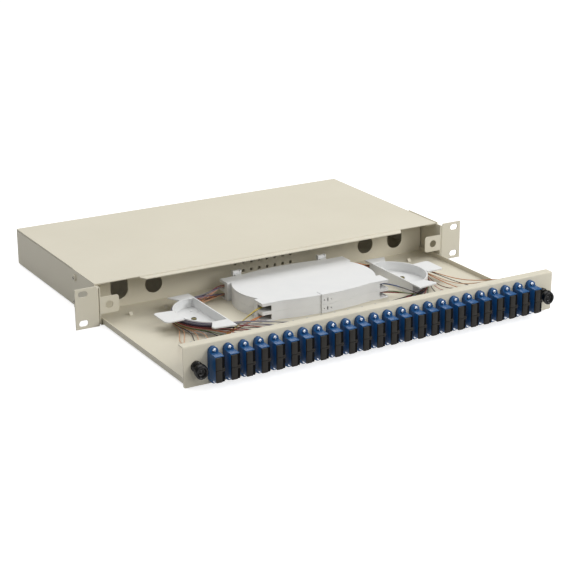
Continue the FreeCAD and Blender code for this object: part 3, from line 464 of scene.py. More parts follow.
def mounted(piece: bpy.types.Object, body: str, nodes: Iterable[str]) -> None:
    """Put a finished piece on its body.

    Args:
        piece: The finished piece, in place.
        body: Body that it rides on.
        nodes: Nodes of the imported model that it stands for.
    """
    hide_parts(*nodes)
    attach(piece, body)
    LOG.info("%s on %s, %d faces", piece.name, body, len(piece.data.polygons))


@dataclass
class Dresser:
    """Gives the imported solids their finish, with or without softened edges."""

    nodes: dict[str, bpy.types.Object]
    bodies: dict[str, str]
    flat: float = math.radians(0.5)
    crease: float = math.radians(32)
    weld: float = 0.002 * MM

    def paint(self, node: str, material: bpy.types.Material) -> None:
        """Keep a node as packed and give it a finish.

        Args:
            node: Name of the node.
            material: Finish.
        """
        mesh = self.nodes[node].data
        mesh.materials.clear()
        mesh.materials.append(material)

    def dress(self, node: str, material: bpy.types.Material, slot: str,
              edge: float) -> bpy.types.Object:
        """Stand a softened copy in for a node.

        Args:
            node: Name of the node.
            material: Finish.
            slot: Material slot of the record; not used.
            edge: Width of the softened edge, in metres.

        Returns:
            The copy, on the node's body.
        """
        shape = bmesh.new()
        shape.from_mesh(self.nodes[node].data)
        bmesh.ops.remove_doubles(shape, verts=shape.verts, dist=self.weld)
        bmesh.ops.dissolve_limit(shape, angle_limit=self.flat, verts=shape.verts,
                                 edges=shape.edges)
        mesh = bpy.data.meshes.new(f"{node}_skin")
        shape.to_mesh(mesh)
        shape.free()
        for face in mesh.polygons:
            face.use_smooth = True
        piece = new_object(f"{node}_skin", mesh, material)
        bevel = piece.modifiers.new("edges", "BEVEL")
        bevel.width = edge
        bevel.segments = SOFT_STEPS
        bevel.limit_method = "ANGLE"
        bevel.angle_limit = self.crease
        bevel.use_clamp_overlap = True
        flats = piece.modifiers.new("flats", "WEIGHTED_NORMAL")
        flats.weight = 100
        settled(piece)
        mounted(piece, self.bodies[node], [node])
        return piece


class Shape:
    """A mesh being modelled from blocks and turned profiles, in metres."""

    def __init__(self) -> None:
        """Start with nothing."""
        self.mesh = bmesh.new()
        self.second = self.mesh.faces.layers.int.new(SECOND_FINISH)

    def soften(self, verts: Iterable[bmesh.types.BMVert], edge: float) -> None:
        """Round the edges of one closed form.

        Args:
            verts: Corners of the form.
            edge: Width of the softened edge.
        """
        sharp = math.radians(40)
        edges = {e for vert in verts for e in vert.link_edges if e.calc_face_angle(0.0) > sharp}
        bmesh.ops.bevel(self.mesh, geom=list(edges), offset=edge, segments=SOFT_STEPS,
                        profile=0.5, affect="EDGES")

    def block(self, low: Point, high: Point, edge: float = 0.0, draft: float = 0.0,
              second: bool = False) -> "Shape":
        """Add a block between two corners.

        Args:
            low: Lowest corner.
            high: Highest corner.
            edge: Width of the softened edge.
            draft: How much the top and bottom come together at the far end of Z.
            second: Whether the block has the piece's second finish.

        Returns:
            The shape itself.
        """
        low, high = Vector(low), Vector(high)
        made = bmesh.ops.create_cube(self.mesh, size=1.0)["verts"]
        for vert in made:
            far = vert.co.z > 0
            for axis in range(3):
                vert.co[axis] = low[axis] + (vert.co[axis] + 0.5) * (high[axis] - low[axis])
            if far:
                vert.co.y -= math.copysign(draft, vert.co.y - (low.y + high.y) / 2)
        if second:
            for face in {f for vert in made for f in vert.link_faces}:
                face[self.second] = 1
        if edge:
            self.soften(made, edge)
        return self

    def stadium(self, width: float, height: float, depth: float, edge: float,
                steps: int = 10) -> None:
        """Add an upright plate with round ends, from Z = 0 forwards.

        Args:
            width: Across.
            height: Up and down, with both ends.
            depth: Thickness.
            edge: Width of the softened edges.
            steps: Sides of each round end.
        """
        radius, straight = width / 2, (height - width) / 2
        outline = []
        for side in (1, -1):
            for step in range(steps + 1):
                turn = math.pi * step / steps
                outline.append((side * radius * math.cos(turn),
                                side * (straight + radius * math.sin(turn))))
        near = [self.mesh.verts.new((x, y, 0)) for x, y in outline]
        far = [self.mesh.verts.new((x, y, depth)) for x, y in outline]
        for step, corner in enumerate(near):
            after = (step + 1) % len(near)
            self.mesh.faces.new((corner, near[after], far[after], far[step]))
        self.mesh.faces.new(near)
        self.mesh.faces.new(far)
        self.soften(near + far, edge)

    def lathe(self, profile: Sequence[Point], steps: int) -> "Shape":
        """Turn a profile of (radius, height) points about Z.

        Args:
            profile: Points that start and end on the axis.
            steps: Sides of the turned form.

        Returns:
            The shape itself.
        """
        turns = [2 * math.pi * step / steps for step in range(steps)]
        rings = []
        for radius, height in profile:
            if radius == 0:
                rings.append([self.mesh.verts.new((0, 0, height))])
                continue
            rings.append([self.mesh.verts.new((radius * math.cos(t), radius * math.sin(t), height))
                          for t in turns])
        for near, far in zip(rings, rings[1:]):
            for step in range(steps):
                after = (step + 1) % steps
                corners = [near[step % len(near)], near[after % len(near)],
                           far[after % len(far)], far[step % len(far)]]
                unique = list(dict.fromkeys(corners))
                if len(unique) > 2:
                    self.mesh.faces.new(unique)
        return self

    def moved(self, place: Point, facing: Point) -> None:
        """Point the shape's Z along a direction and move it.

        Args:
            place: Where its origin goes.
            facing: The direction.
        """
        turn = Vector((0, 0, 1)).rotation_difference(Vector(facing)).to_matrix().to_4x4()
        bmesh.ops.transform(self.mesh, matrix=Matrix.Translation(place) @ turn,
                            verts=self.mesh.verts)

    def finish(self, name: str, material: bpy.types.Material | None = None,
               smooth: float = 35.0) -> bpy.types.Object:
        """Close the shape into an object with outward faces.

        Args:
            name: Name of the object.
            material: Finish.
            smooth: Angle up to which an edge is shaded smooth, in degrees.

        Returns:
            The object.
        """
        bmesh.ops.recalc_face_normals(self.mesh, faces=self.mesh.faces)
        mesh = bpy.data.meshes.new(name)
        self.mesh.to_mesh(mesh)
        self.mesh.free()
        for face in mesh.polygons:
            face.use_smooth = True
        mesh.set_sharp_from_angle(angle=math.radians(smooth))
        return new_object(name, mesh, material)


class Repeater:
    """A Geometry Nodes tree that seats copies of one modelled piece."""

    FACING = "facing"

    def __init__(self) -> None:
        """Build the tree: one copy on each point, turned to the way that the point faces."""
        self.tree = tree = bpy.data.node_groups.new("piece_seats", "GeometryNodeTree")
        for title, kind in (("Geometry", "NodeSocketGeometry"), ("Piece", "NodeSocketObject"),
                            ("Finish", "NodeSocketMaterial")):
            tree.interface.new_socket(title, in_out="INPUT", socket_type=kind)
        tree.interface.new_socket("Geometry", in_out="OUTPUT", socket_type="NodeSocketGeometry")
        source = tree.nodes.new("NodeGroupInput").outputs
        result = tree.nodes.new("NodeGroupOutput").inputs
        template = tree.nodes.new("GeometryNodeObjectInfo")
        copies = tree.nodes.new("GeometryNodeInstanceOnPoints")
        facing = tree.nodes.new("GeometryNodeInputNamedAttribute")
        facing.data_type = "FLOAT_VECTOR"
        facing.inputs["Name"].default_value = self.FACING
        turn = tree.nodes.new("FunctionNodeAlignRotationToVector")
        turn.axis = "Z"
        realize = tree.nodes.new("GeometryNodeRealizeInstances")
        paint = tree.nodes.new("GeometryNodeSetMaterial")
        for start, end in (
                (source["Piece"], template.inputs["Object"]),
                (source["Geometry"], copies.inputs["Points"]),
                (template.outputs["Geometry"], copies.inputs["Instance"]),
                (facing.outputs["Attribute"], turn.inputs["Vector"]),
                (turn.outputs["Rotation"], copies.inputs["Rotation"]),
                (copies.outputs["Instances"], realize.inputs["Geometry"]),
                (realize.outputs["Geometry"], paint.inputs["Geometry"]),
                (source["Finish"], paint.inputs["Material"]),
                (paint.outputs["Geometry"], result["Geometry"])):
            tree.links.new(start, end)

    def seats(self, name: str, piece: bpy.types.Object, seats: Sequence[tuple[Point, Point]],
              material: bpy.types.Material,
              second: bpy.types.Material | None = None) -> bpy.types.Object:
        """Seat a piece at given places, its Z along each seat's facing.

        Args:
            name: Name of the result.
            piece: The modelled piece, which is used up.
            seats: Place and facing of each copy.
            material: Finish of every copy.
            second: Finish of the faces that are marked for it.

        Returns:
            One plain mesh.
        """
        mesh = bpy.data.meshes.new(name)
        mesh.from_pydata([place for place, _ in seats], [], [])
        attribute = mesh.attributes.new(self.FACING, "FLOAT_VECTOR", "POINT")
        attribute.data.foreach_set("vector", [value for _, way in seats for value in way])
        carrier = new_object(name, mesh, material)
        modifier = carrier.modifiers.new("repeat", "NODES")
        modifier.node_group = self.tree
        values = {"Piece": piece, "Finish": material}
        for item in self.tree.interface.items_tree:
            if item.in_out == "INPUT" and item.name in values:
                modifier[item.identifier] = values[item.name]
        settled(carrier)
        bpy.data.objects.remove(piece)
        carrier.data.materials.clear()
        carrier.data.materials.append(material)
        if second is not None:
            carrier.data.materials.append(second)
            marks = carrier.data.attributes[SECOND_FINISH].data
            for face, mark in zip(carrier.data.polygons, marks):
                face.material_index = mark.value
        return carrier


@dataclass
class PanScrew:
    """A pan head screw with a cross recess, head up and seated at Z = 0.

    The crown and the recess are given as shares of the head's radius and height.
    """

    radius: float
    height: float
    crown: tuple[Point, ...] = ((1.0, 0.0), (1.0, 0.42), (0.93, 0.68), (0.78, 0.87), (0.55, 0.97),
                                (0.28, 1.0))
    recess_reach: float = 0.55
    recess_width: float = 0.12
    recess_depth: float = 0.55
    steps: int = 28

    def model(self, name: str) -> bpy.types.Object:
        """Make one screw head, with the faces of its recess marked for the second finish.

        Args:
            name: Name of the head.

        Returns:
            The head.
        """
        crown = [(self.radius * share, self.height * rise) for share, rise in self.crown]
        profile = [(0, 0)] + crown + [(0, self.height)]
        screw = Shape().lathe(profile, self.steps).finish(name, smooth=50.0)
        arm, wide = self.radius * self.recess_reach, self.radius * self.recess_width
        deep = self.height * self.recess_depth
        floor, above = self.height - deep, self.height * 1.2
        cross = Shape().block((-arm, -wide, floor), (arm, wide, above))
        cross.block((-wide, -arm, floor), (wide, arm, above))
        cut(screw, cross.finish(f"{name}_cross"))
        # The recess faces are marked for the second finish, a near-black that paints the shade in
        # the recess.
        low = self.height - deep * 0.7
        for face, mark in zip(screw.data.polygons, screw.data.attributes[SECOND_FINISH].data):
            inside = math.hypot(face.center.x, face.center.y) < arm * 1.02
            mark.value = int(inside and (face.normal.z < 0.3 or face.center.z < low))
        return screw


@dataclass(frozen=True)
class FloorScrews:
    """The pair of screws that holds a moulded piece to the drawer's floor."""

    head: float = 2.9 * MM
    height: float = 2.0 * MM

    def seat(self, name: str, repeater: Repeater, metal: bpy.types.Material,
             recess: bpy.types.Material) -> None:
        """Stand two heads in for the node of a pair.

        Args:
            name: Name of one screw, of which the node's is the plural.
            repeater: What seats the heads.
            metal: Finish of the heads.
            recess: Near-black finish of their recesses, which paints the shade in them.
        """
        low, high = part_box(f"{name}s")
        along, level = (low.y + high.y) / 2, high.z - self.height
        seats = [((x, along, level), (0, 0, 1)) for x in (low.x + self.head, high.x - self.head)]
        piece = PanScrew(self.head, self.height).model(name)
        made = repeater.seats(f"{name}_heads", piece, seats, metal, recess)
        mounted(made, "drawer", [f"{name}s"])


@dataclass
class Housing:
    """The sleeve that stays in the rack, with its cover and ears."""

    dresser: Dresser
    repeater: Repeater
    finishes: Finishes
    head: float = 3.9 * MM
    head_height: float = 2.2 * MM

    def build(self) -> None:
        """Paint the sheets and make the screws."""
        for node in ("housing_shell", "top_cover", "ear_bracket_left", "ear_bracket_right"):
            self.dresser.paint(node, self.finishes.coat)
        self.screws()

    def screws(self) -> None:
        """Four screws in the bracket flanges."""
        low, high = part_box("bracket_screws")
        along = (low.y + high.y) / 2
        seats = []
        for side in Side:
            outer = high.x if side is Side.RIGHT else low.x
            face = outer - side.value * self.head_height
            for level in (low.z + self.head, high.z - self.head):
                seats.append(((face, along, level), (side.value, 0, 0)))
        piece = PanScrew(self.head, self.head_height).model("bracket_screw")
        # The cross recesses take the near-black second finish, painted shade.
        made = self.repeater.seats("bracket_screw_heads", piece, seats, self.finishes.coat,
                                   self.finishes.polished_and_recess_shade)
        mounted(made, "housing", ["bracket_screws"])


@dataclass
class AdapterRow:
    """Twenty-four duplex adapters with their screws and dust caps.

    Sizes are in millimetres, and depths are from the panel's face.
    """

    repeater: Repeater
    finishes: Finishes
    count: int = 24
    ear: tuple[float, float, float] = (9.5, 36.8, 4.4)
    ear_overlap: float = 0.8
    body: tuple[float, float] = (9.4, 26.4)
    body_front: float = 15.7
    body_rear: float = -14.0
    shoulder: float = 1.4
    draft: float = 0.5
    port: tuple[float, float] = (7.6, 9.2)
    port_pitch: float = 12.7
    port_floor: float = 4.4
    edge: float = 0.4
    head: tuple[float, float] = (1.9, 1.4)
    head_inset: float = 0.2
    cap: tuple[float, float] = (9.4, 12.2)
    cap_front: float = 18.0
    cap_drop: float = 0.5
    cap_gap: float = 0.3
    cap_softness: float = 0.7
    step: tuple[float, float] = (3.3, 1.5)
    bridge: float = 1.5
    stem: tuple[float, float, float] = (6.4, 8.0, 9.6)
    centres: list[float] = field(default_factory=list)

    def __post_init__(self) -> None:
        """Read the adapters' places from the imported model."""
        for number in range(1, self.count + 1):
            low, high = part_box(f"adapter_{number:02d}")
            self.centres.append((low.x + high.x) / 2)
        self.level = (low.z + high.z) / 2
        self.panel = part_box("drawer_tray")[0].y

    def build(self) -> None:
        """Model one adapter, its screw and a cap for each row, and repeat them."""
        self.adapters()
        self.screws()
        for name, level in (("upper", 1), ("lower", -1)):
            self.caps(name, level)

    def seats(self, up: float = 0.0, forward: float = 0.0) -> list[tuple[Point, Point]]:
        """One forward-facing seat on each adapter, from its middle on the panel."""
        along, level = self.panel - forward * MM, self.level + up * MM
        return [((x, along, level), (0, -1, 0)) for x in self.centres]

    def adapters(self) -> None:
        """Ears in one column, and a drafted body with open ports at both ends."""
        wide, high = self.body[0] / 2 * MM, self.body[1] / 2 * MM
        front, rear = self.body_front * MM, self.body_rear * MM
        inset, soft = self.shoulder * MM, self.edge * MM
        start = (self.ear[2] - self.ear_overlap) * MM
        body = Shape().block((-wide, -high, start), (wide, high, front), soft, self.draft * MM)
        body.block((-wide, -high, rear + inset), (wide, high, 0.001 * MM))
        body.block((inset - wide, inset - high, rear),
                   (wide - inset, high - inset, rear + inset * 1.5))
        piece = body.finish("adapter_body")
        cut(piece, self.ports(front, rear))
        ears = Shape()
        ears.mesh.from_mesh(piece.data)
        ears.stadium(*(size * MM for size in self.ear), soft)
        bpy.data.objects.remove(piece)
        adapter = ears.finish("adapter", smooth=30.0)
        made = self.repeater.seats("adapter_bodies", adapter, self.seats(), self.finishes.blue)
        nodes = [f"adapter_{number:02d}" for number in range(1, self.count + 1)]
        mounted(made, "drawer", nodes)

    def ports(self, front: float, rear: float) -> bpy.types.Object:
        """Make what opens an adapter's two ports from both ends.

        Args:
            front: Depth of the body's front, in metres.
            rear: Depth of its rear, in metres.

        Returns:
            The blocks.
        """
        across, up = self.port[0] / 2 * MM, self.port[1] / 2 * MM
        tool = Shape()
        for level in (-1, 1):
            middle = level * self.port_pitch / 2 * MM
            for start, end in ((self.port_floor * MM, front + MM), (rear - MM, -MM)):
                tool.block((-across, middle - up, start), (across, middle + up, end))
        return tool.finish("adapter_ports")

    def screws(self) -> None:
        """Two screws in the ears of every adapter."""
        low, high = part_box("adapter_screws")
        spacing = (high.z - low.z) / 2 / MM - self.head[0] - self.head_inset
        seats = self.seats(spacing, self.ear[2]) + self.seats(-spacing, self.ear[2])
        piece = PanScrew(self.head[0] * MM, self.head[1] * MM).model("adapter_screw")
        made = self.repeater.seats("adapter_screw_heads", piece, seats, self.finishes.bright_steel)
        mounted(made, "drawer", ["adapter_screws"])

    def caps(self, name: str, level: int) -> None:
        """One row of caps: a plate stepped back on its right, a bridge at the seam, a stem behind.

        Args:
            name: Row.
            level: 1 for the upper row, -1 for the lower.
        """
        wide, high = self.cap[0] / 2 * MM, self.cap[1] / 2 * MM
        step, deep = (value * MM for value in self.step)
        front, back = self.cap_front * MM, self.body_front * MM
        soft = self.edge * self.cap_softness * MM
        seam = -level * high
        bridge = sorted((seam, seam + level * self.bridge * MM))
        shape = Shape().block((-wide, -high, back), (wide - step, high, front), soft)
        shape.block((wide - step - soft, bridge[0], back), (wide, bridge[1], front), soft)
        # The stepped-back part is marked for the near-black recess finish, painted shade in the
        # step.
        shape.block((wide - step - soft * 2, -high, back), (wide, high, front - deep), second=True)
        stem_wide, stem_high, stem_deep = (value * MM for value in self.stem)
        to_port = level * (self.port_pitch - self.cap[1] - self.cap_gap) / 2
        port = to_port * MM + self.cap_drop * MM
        shape.block((-stem_wide / 2, port - stem_high / 2, back - stem_deep),
                    (stem_wide / 2, port + stem_high / 2, back + soft), soft)
        cap = shape.finish(f"cap_{name}", smooth=30.0)
        middle = level * (self.cap[1] + self.cap_gap) / 2 - self.cap_drop
        made = self.repeater.seats(f"caps_{name}_row", cap, self.seats(middle),
                                   self.finishes.black, self.finishes.recess)
        mounted(made, f"caps_{name}", [f"dust_caps_{name}"])


@dataclass
class DrawerFasteners:
    """Push-in plungers at the ends of the panel, which hang a little in their grommets.

    Sizes are in millimetres. Points of the head's back are insets from its radius and heights
    over its base, those of the cup are insets and depths below the front, and those of the cone
    are radii and depths.
    """

    dresser: Dresser
    finishes: Finishes
    pin: float = 1.6
    head: float = 6.8
    head_length: float = 5.6
    head_back: tuple[Point, ...] = ((1, 0), (0.3, 0.3), (0, 1))
    cup: tuple[Point, ...] = ((0, 1.2), (0.2, 0.5), (0.8, 0), (1.5, 0), (2.1, 0.4), (2.5, 1.6),
                              (3.2, 2.7), (4.2, 2.9))
    cone: tuple[Point, ...] = ((1.4, 2.0), (0.8, 1.5), (0, 1.4))
    collar: float = 4.5
    collar_edge: float = 0.3
    collar_growth: float = 1.17
    droop: float = 0.3
    steps: int = 40

    def build(self) -> None:
        """Dress the grommets and turn the plungers."""
        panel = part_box("drawer_tray")[0].y
        for side in Side:
            self.grommet(f"fastener_grommet_{side.name.lower()}", panel)
            self.plunger(side.name.lower(), panel)

    def grommet(self, node: str, panel: float) -> None:
        """Dress a grommet, and grow its collar in front of the panel to the real width.

        Args:
            node: Node of the grommet.
            panel: Place of the panel's face.
        """
        low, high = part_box(node)
        skin = self.dresser.dress(node, self.finishes.polished_and_recess_shade, "black_plastic",
                                  self.collar_edge * MM)
        for vert in skin.data.vertices:
            if vert.co.y < panel + 0.01 * MM:
                vert.co.x += (vert.co.x - (low.x + high.x) / 2) * (self.collar_growth - 1)
                vert.co.z += (vert.co.z - (low.z + high.z) / 2) * (self.collar_growth - 1)

    def plunger(self, name: str, panel: float) -> None:
        """Turn a cup-headed plunger with a cone in its cup, which droops in front of its collar.

        Args:
            name: End of the box.
            panel: Place of the panel's face.
        """
        node = f"fastener_plunger_{name}"
        low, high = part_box(node)
        length = (high.y - low.y) / MM
        base = length - self.head_length
        profile = [(0, 0), (self.pin, 1), (self.pin, base - 0.1)]
        profile += [(self.head - inset, base + rise) for inset, rise in self.head_back]
        profile += [(self.head - inset, length - depth) for inset, depth in self.cup]
        profile += [(radius, length - depth) for radius, depth in self.cone]
        shape = Shape().lathe([(radius * MM, rise * MM) for radius, rise in profile], self.steps)
        shape.moved(((low.x + high.x) / 2, high.y, (low.z + high.z) / 2), (0, -1, 0))
        collar = panel - self.collar * MM
        for vert in shape.mesh.verts:
            vert.co.z -= max(collar - vert.co.y, 0) * self.droop
        made = shape.finish(f"{node}_turned", self.finishes.polished_and_recess_shade, 50.0)
        mounted(made, f"plunger_{name}", [node])


@dataclass
class Cassettes:
    """The two splice cassettes, their lid and what they hold."""

    dresser: Dresser
    finishes: Finishes
    repeater: Repeater
    tray_edge: float = 0.25 * MM
    comb_edge: float = 0.12 * MM
    sleeve_edge: float = 0.2 * MM

    def build(self) -> None:
        """Dress the moulded trays, lid, combs and sleeves, and seat the hubs' screws."""
        white, sleeve = self.finishes.white, self.finishes.sleeve
        for node in ("cassette_lower", "cassette_upper", "cassette_lid"):
            self.dresser.dress(node, white, "white_plastic", self.tray_edge)
        for node in ("splice_comb_lower", "splice_comb_upper"):
            self.dresser.dress(node, white, "white_plastic", self.comb_edge)
        for node in ("splice_sleeves_lower", "splice_sleeves_upper"):
            self.dresser.dress(node, sleeve, "clear_sleeve", self.sleeve_edge)
        FloorScrews().seat("cassette_screw", self.repeater, self.finishes.steel,
                           self.finishes.polished_and_recess_shade)


@dataclass
class Guides:
    """The D-shaped fibre guides and their screws."""

    dresser: Dresser
    finishes: Finishes
    repeater: Repeater
    edge: float = 0.3 * MM

    def build(self) -> None:
        """Dress the guides and seat their screws."""
        for side in Side:
            node = f"fibre_guide_{side.name.lower()}"
            self.dresser.dress(node, self.finishes.white, "white_plastic", self.edge)
        FloorScrews().seat("guide_screw", self.repeater, self.finishes.olive_steel,
                           self.finishes.polished_and_recess_shade)


@dataclass(frozen=True)
class Route:
    """One fibre: its line, its jacket and, if it crosses a hinge, its way into the cassette."""

    points: tuple[Vector, ...]
    jacket: int
    entry: Way | None


@dataclass(frozen=True)
class Lay:
    """How the fibres of one end lie, with their jackets from the innermost fibre outwards.

    The outermost fibre leaves the guide's wall at first_leave, in degrees.
    """

    first_leave: float
    leave_bias: float
    outer_on_top: bool
    rear: str
    front: str


LAYS = {
    Side.LEFT: Lay(-6.0, 1.25, False,
                   "violet grey grey violet red black black red brown "
                   "rose orange green black peach peach black peach peach",
                   "orange yellow peach black orange yellow"),
    Side.RIGHT: Lay(26.0, 1.35, True,
                    "black violet black black red black grey brown black "
                    "red green black rose brown orange peach black orange",
                    "red blue brown violet green black"),
}


@dataclass
class Pigtails:
    """Forty-eight single fibres from the connectors, round the guides and into the cassettes.

    The lower connectors of the adapters in the front band feed the cassettes' front entries, and
    the others the rear ones. Angles are in degrees round the guide's wall, from the outer side
    towards the rear.
    """

    finishes: Finishes
    centres: list[float]
    radius: float = 0.45 * MM
    hub: tuple[float, float] = (108.0 * MM, -51.5 * MM)
    hub_radius: float = 43.5 * MM
    lane: float = 0.95 * MM
    layer: float = 1.2 * MM
    layers: int = 10
    lowest: float = 0.8 * MM
    rear_gap: float = 0.4 * MM
    rear_end: float = 88.0
    last_leave: float = -88.0
    wrap_step: float = 14.0
    run_ahead: tuple[float, float] = (34.0 * MM, 14.0 * MM)
    pull: float = 0.3
    front_band: tuple[float, float] = (70.0 * MM, 160.0 * MM)
    front_gap: float = 2.9 * MM
    front_wrap: tuple[float, ...] = (-74.0, -83.0, -92.0)
    front_foot: float = 0.6 * MM
    front_rise: tuple[float, float] = (5.5 * MM, 8.5 * MM)
    entry_inset: float = 3.2 * MM
    entry_level: float = 4.75 * MM
    rear_entry: float = 5.5 * MM
    front_entry: float = -79.0 * MM
    entry_slack: float = 1.6
    outside: float = 2.5 * MM
    inside: tuple[float, float] = (6.0 * MM, 3.0 * MM)
    front_margin: float = 6.5 * MM
    blend_margin: float = 2.0 * MM
    seed: int = 11
    dice: random.Random = field(default_factory=random.Random)

    def build(self) -> None:
        """Route every fibre, with a mesh for each end and for each crossing of the hinge."""
        for side in Side:
            self.dice.seed(self.seed + side.value)
            name = side.name.lower()
            routes = self.routes(side, LAYS[side])
            held = bmesh.new()
            held.from_mesh(self.strands([r for r in routes if r.entry is None]))
            for way in Way:
                whole = self.strands([r for r in routes if r.entry is way])
                self.parted(held, whole, way, False)
                crossing = bmesh.new()
                self.parted(crossing, whole, way, True)
                lifted = self.piece(f"pigtail_strands_{name}_{way.name.lower()}", crossing)
                reach = self.hub_radius + self.blend_margin
                start = Vector((side.value * (self.hub[0] - self.blend_margin),
                                self.hub[1] + way.value * reach, self.mouth(side, way, 1).z))
                self.mouth(side, way, 1)
                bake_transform(lifted)
                LOG.info("%s blended, %d faces", lifted.name, len(lifted.data.polygons))
            nodes = [f"pigtail_fibres_{name}", f"pigtails_{name}_rear", f"pigtails_{name}_front"]
            made = self.piece(f"pigtail_strands_{name}", held)
            mounted(made, "drawer", nodes)

    def parted(self, shape: bmesh.types.BMesh, whole: bpy.types.Mesh, way: Way,
               crossing: bool) -> None:
        """Add the part of strands that crosses from the guide to its cassette, or the rest.

        Args:
            shape: What the part is added to.
            whole: The strands.
            way: Where they enter the cassette.
            crossing: Whether the crossing part is added, or the rest.
        """
        nearest = self.hub[1]
        if way is Way.FRONT:
            nearest -= self.hub_radius + self.front_margin
        part = bmesh.new()
        part.from_mesh(whole)
        others = []
        for face in part.faces:
            middle = face.calc_center_median()
            if (abs(middle.x) < self.hub[0] and middle.y > nearest) is not crossing:
                others.append(face)
        bmesh.ops.delete(part, geom=others, context="FACES")
        ends = [edge for edge in part.edges if edge.is_boundary]
        bmesh.ops.holes_fill(part, edges=ends, sides=0)
        mesh = bpy.data.meshes.new("part")
        part.to_mesh(mesh)
        part.free()
        shape.from_mesh(mesh)
        bpy.data.meshes.remove(mesh)

    def piece(self, name: str, shape: bmesh.types.BMesh) -> bpy.types.Object:
        """Turn strands into an object with every jacket.

        Args:
            name: Name of the object.
            shape: The strands, which are used up.

        Returns:
            The object.
        """
        mesh = bpy.data.meshes.new(name)
        shape.to_mesh(mesh)
        shape.free()
        for material in self.finishes.jackets:
            mesh.materials.append(material)
        for face in mesh.polygons:
            face.use_smooth = True
        return new_object(name, mesh, None)

    def floor(self) -> float:
        """Level of the drawer's floor."""
        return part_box("cassette_lower")[0].z

    def mouth(self, side: Side, way: Way, tier: int) -> Vector:
        """Find the middle of a cassette's entry.

        Args:
            side: End of the box.
            way: Rear or front entry.
            tier: 0 for the lower cassette, 1 for the upper.

        Returns:
            The point.
        """
        low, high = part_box("cassette_lower")
        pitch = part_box("splice_comb_upper")[0].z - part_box("splice_comb_lower")[0].z
        across = high.x - self.entry_inset if side is Side.RIGHT else low.x + self.entry_inset
        along = self.rear_entry if way is Way.REAR else self.front_entry
        return Vector((across, along, self.floor() + self.entry_level + pitch * tier))

    def wrap(self, side: Side, degrees: float, off: float, level: float) -> Vector:
        """Find a point beside the guide's wall.

        Args:
            side: End of the box.
            degrees: Where it is round the wall.
            off: How far it is from the wall.
            level: Height.

        Returns:
            The point.
        """
        turn = math.radians(degrees)
        reach = self.hub_radius + off
        return Vector((side.value * (self.hub[0] + reach * math.cos(turn)),
                       self.hub[1] + reach * math.sin(turn), level))

    def loose(self, x: float, y: float, z: float, slack: float = 1.0) -> Vector:
        """Move a point a little off its place, but not into the floor.

        Args:
            x: Its place along the width, in metres.
            y: Its place from front to rear, in metres.
            z: Its height, in metres.
            slack: How far it may move, in millimetres.

        Returns:
            The point.
        """
        jitter = self.dice.uniform
        lowest = self.floor() + self.radius + 0.1 * MM
        return Vector((x + jitter(-slack, slack) * MM, y + jitter(-slack, slack) * MM,
                       max(z + jitter(-slack, slack) * 0.5 * MM, lowest)))

    def routes(self, side: Side, lay: Lay) -> list[Route]:
        """Route every fibre of one end, from the middle of the row outwards.

        Args:
            side: End of the box.
            lay: How its fibres lie.

        Returns:
            The routes.
        """
        order = list(JACKETS)
        rear, front = (enumerate(order.index(name) for name in names.split())
                       for names in (lay.rear, lay.front))
        made = []
        for place in sorted((x for x in self.centres if x * side.value > 0), key=abs):
            for row in ("lower", "upper"):
                low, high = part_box(f"pigtail_plugs_{row}")
                level, tip = (low.z + high.z) / 2, high.y
                boot = [Vector((place, tip - 1.0 * MM, level)),
                        self.loose(place, tip + 7 * MM, level - 2 * MM, 0.4)]
                if row == "lower" and self.front_band[0] < abs(place) < self.front_band[1]:
                    made.append(self.front_route(side, boot, *next(front)))
                else:
                    made.append(self.rear_route(side, lay, boot, *next(rear)))
        return made

    def rear_route(self, side: Side, lay: Lay, boot: list[Vector], number: int,
                   jacket: int) -> Route:
        """Route a fibre round the guide's wall from the rear of its cassette.

        The fibres of the outer adapters leave the wall first.

        Args:
            side: End of the box.
            lay: How its fibres lie.
            boot: Points behind the connector.
            number: Place in the count from the innermost fibre.
            jacket: Index of its jacket.

        Returns:
            The route.
        """
        way, place = side.value, abs(boot[0].x)
        pair, tier = divmod(number, 2)
        share = number / (2 * self.layers - 2)
        off = self.radius + self.rear_gap + self.lane * (tier + self.dice.uniform(-0.1, 0.2))
        tall = pair if lay.outer_on_top else self.layers - 1 - pair
        tall += 0.5 * (1 - tier) + self.dice.uniform(-0.1, 0.1)
        level = self.floor() + self.lowest + self.layer * tall
        sweep = (lay.first_leave - self.last_leave) * share ** lay.leave_bias
        leave = self.last_leave + sweep
        last = self.wrap(side, leave, off, level)
        turn = math.radians(leave)
        run = self.run_ahead[0] + (self.run_ahead[1] - self.run_ahead[0]) * share
        outward = max(place - abs(last.x), 0) * self.pull
        drop = (self.floor() + self.layer - level) * self.pull
        ahead = last + Vector((way * (math.sin(turn) * run + outward), -math.cos(turn) * run, drop))
        middle = self.loose(boot[1].x * 0.65 + ahead.x * 0.35, (ahead.y + boot[1].y) / 2,
                            self.floor() * 0.8 + boot[1].z * 0.2)
        points = boot + [middle, self.loose(*ahead, 0.8)]
        wrapped = self.rear_end - leave
        steps = int(wrapped / self.wrap_step)
        points += [self.wrap(side, leave + wrapped * step / steps, off, level)
                   for step in range(steps + 1)]
        mouth = self.mouth(side, Way.REAR, tier)
        spread = (pair % 4 - 1.5) * self.lane
        points.append(self.loose(mouth.x + way * 16 * MM, -1 * MM + spread,
                                 (level + mouth.z) / 2, 0.6))
        points += self.entering(side, Way.REAR, mouth, spread)
        return Route(tuple(points), jacket, Way.REAR if tier else None)

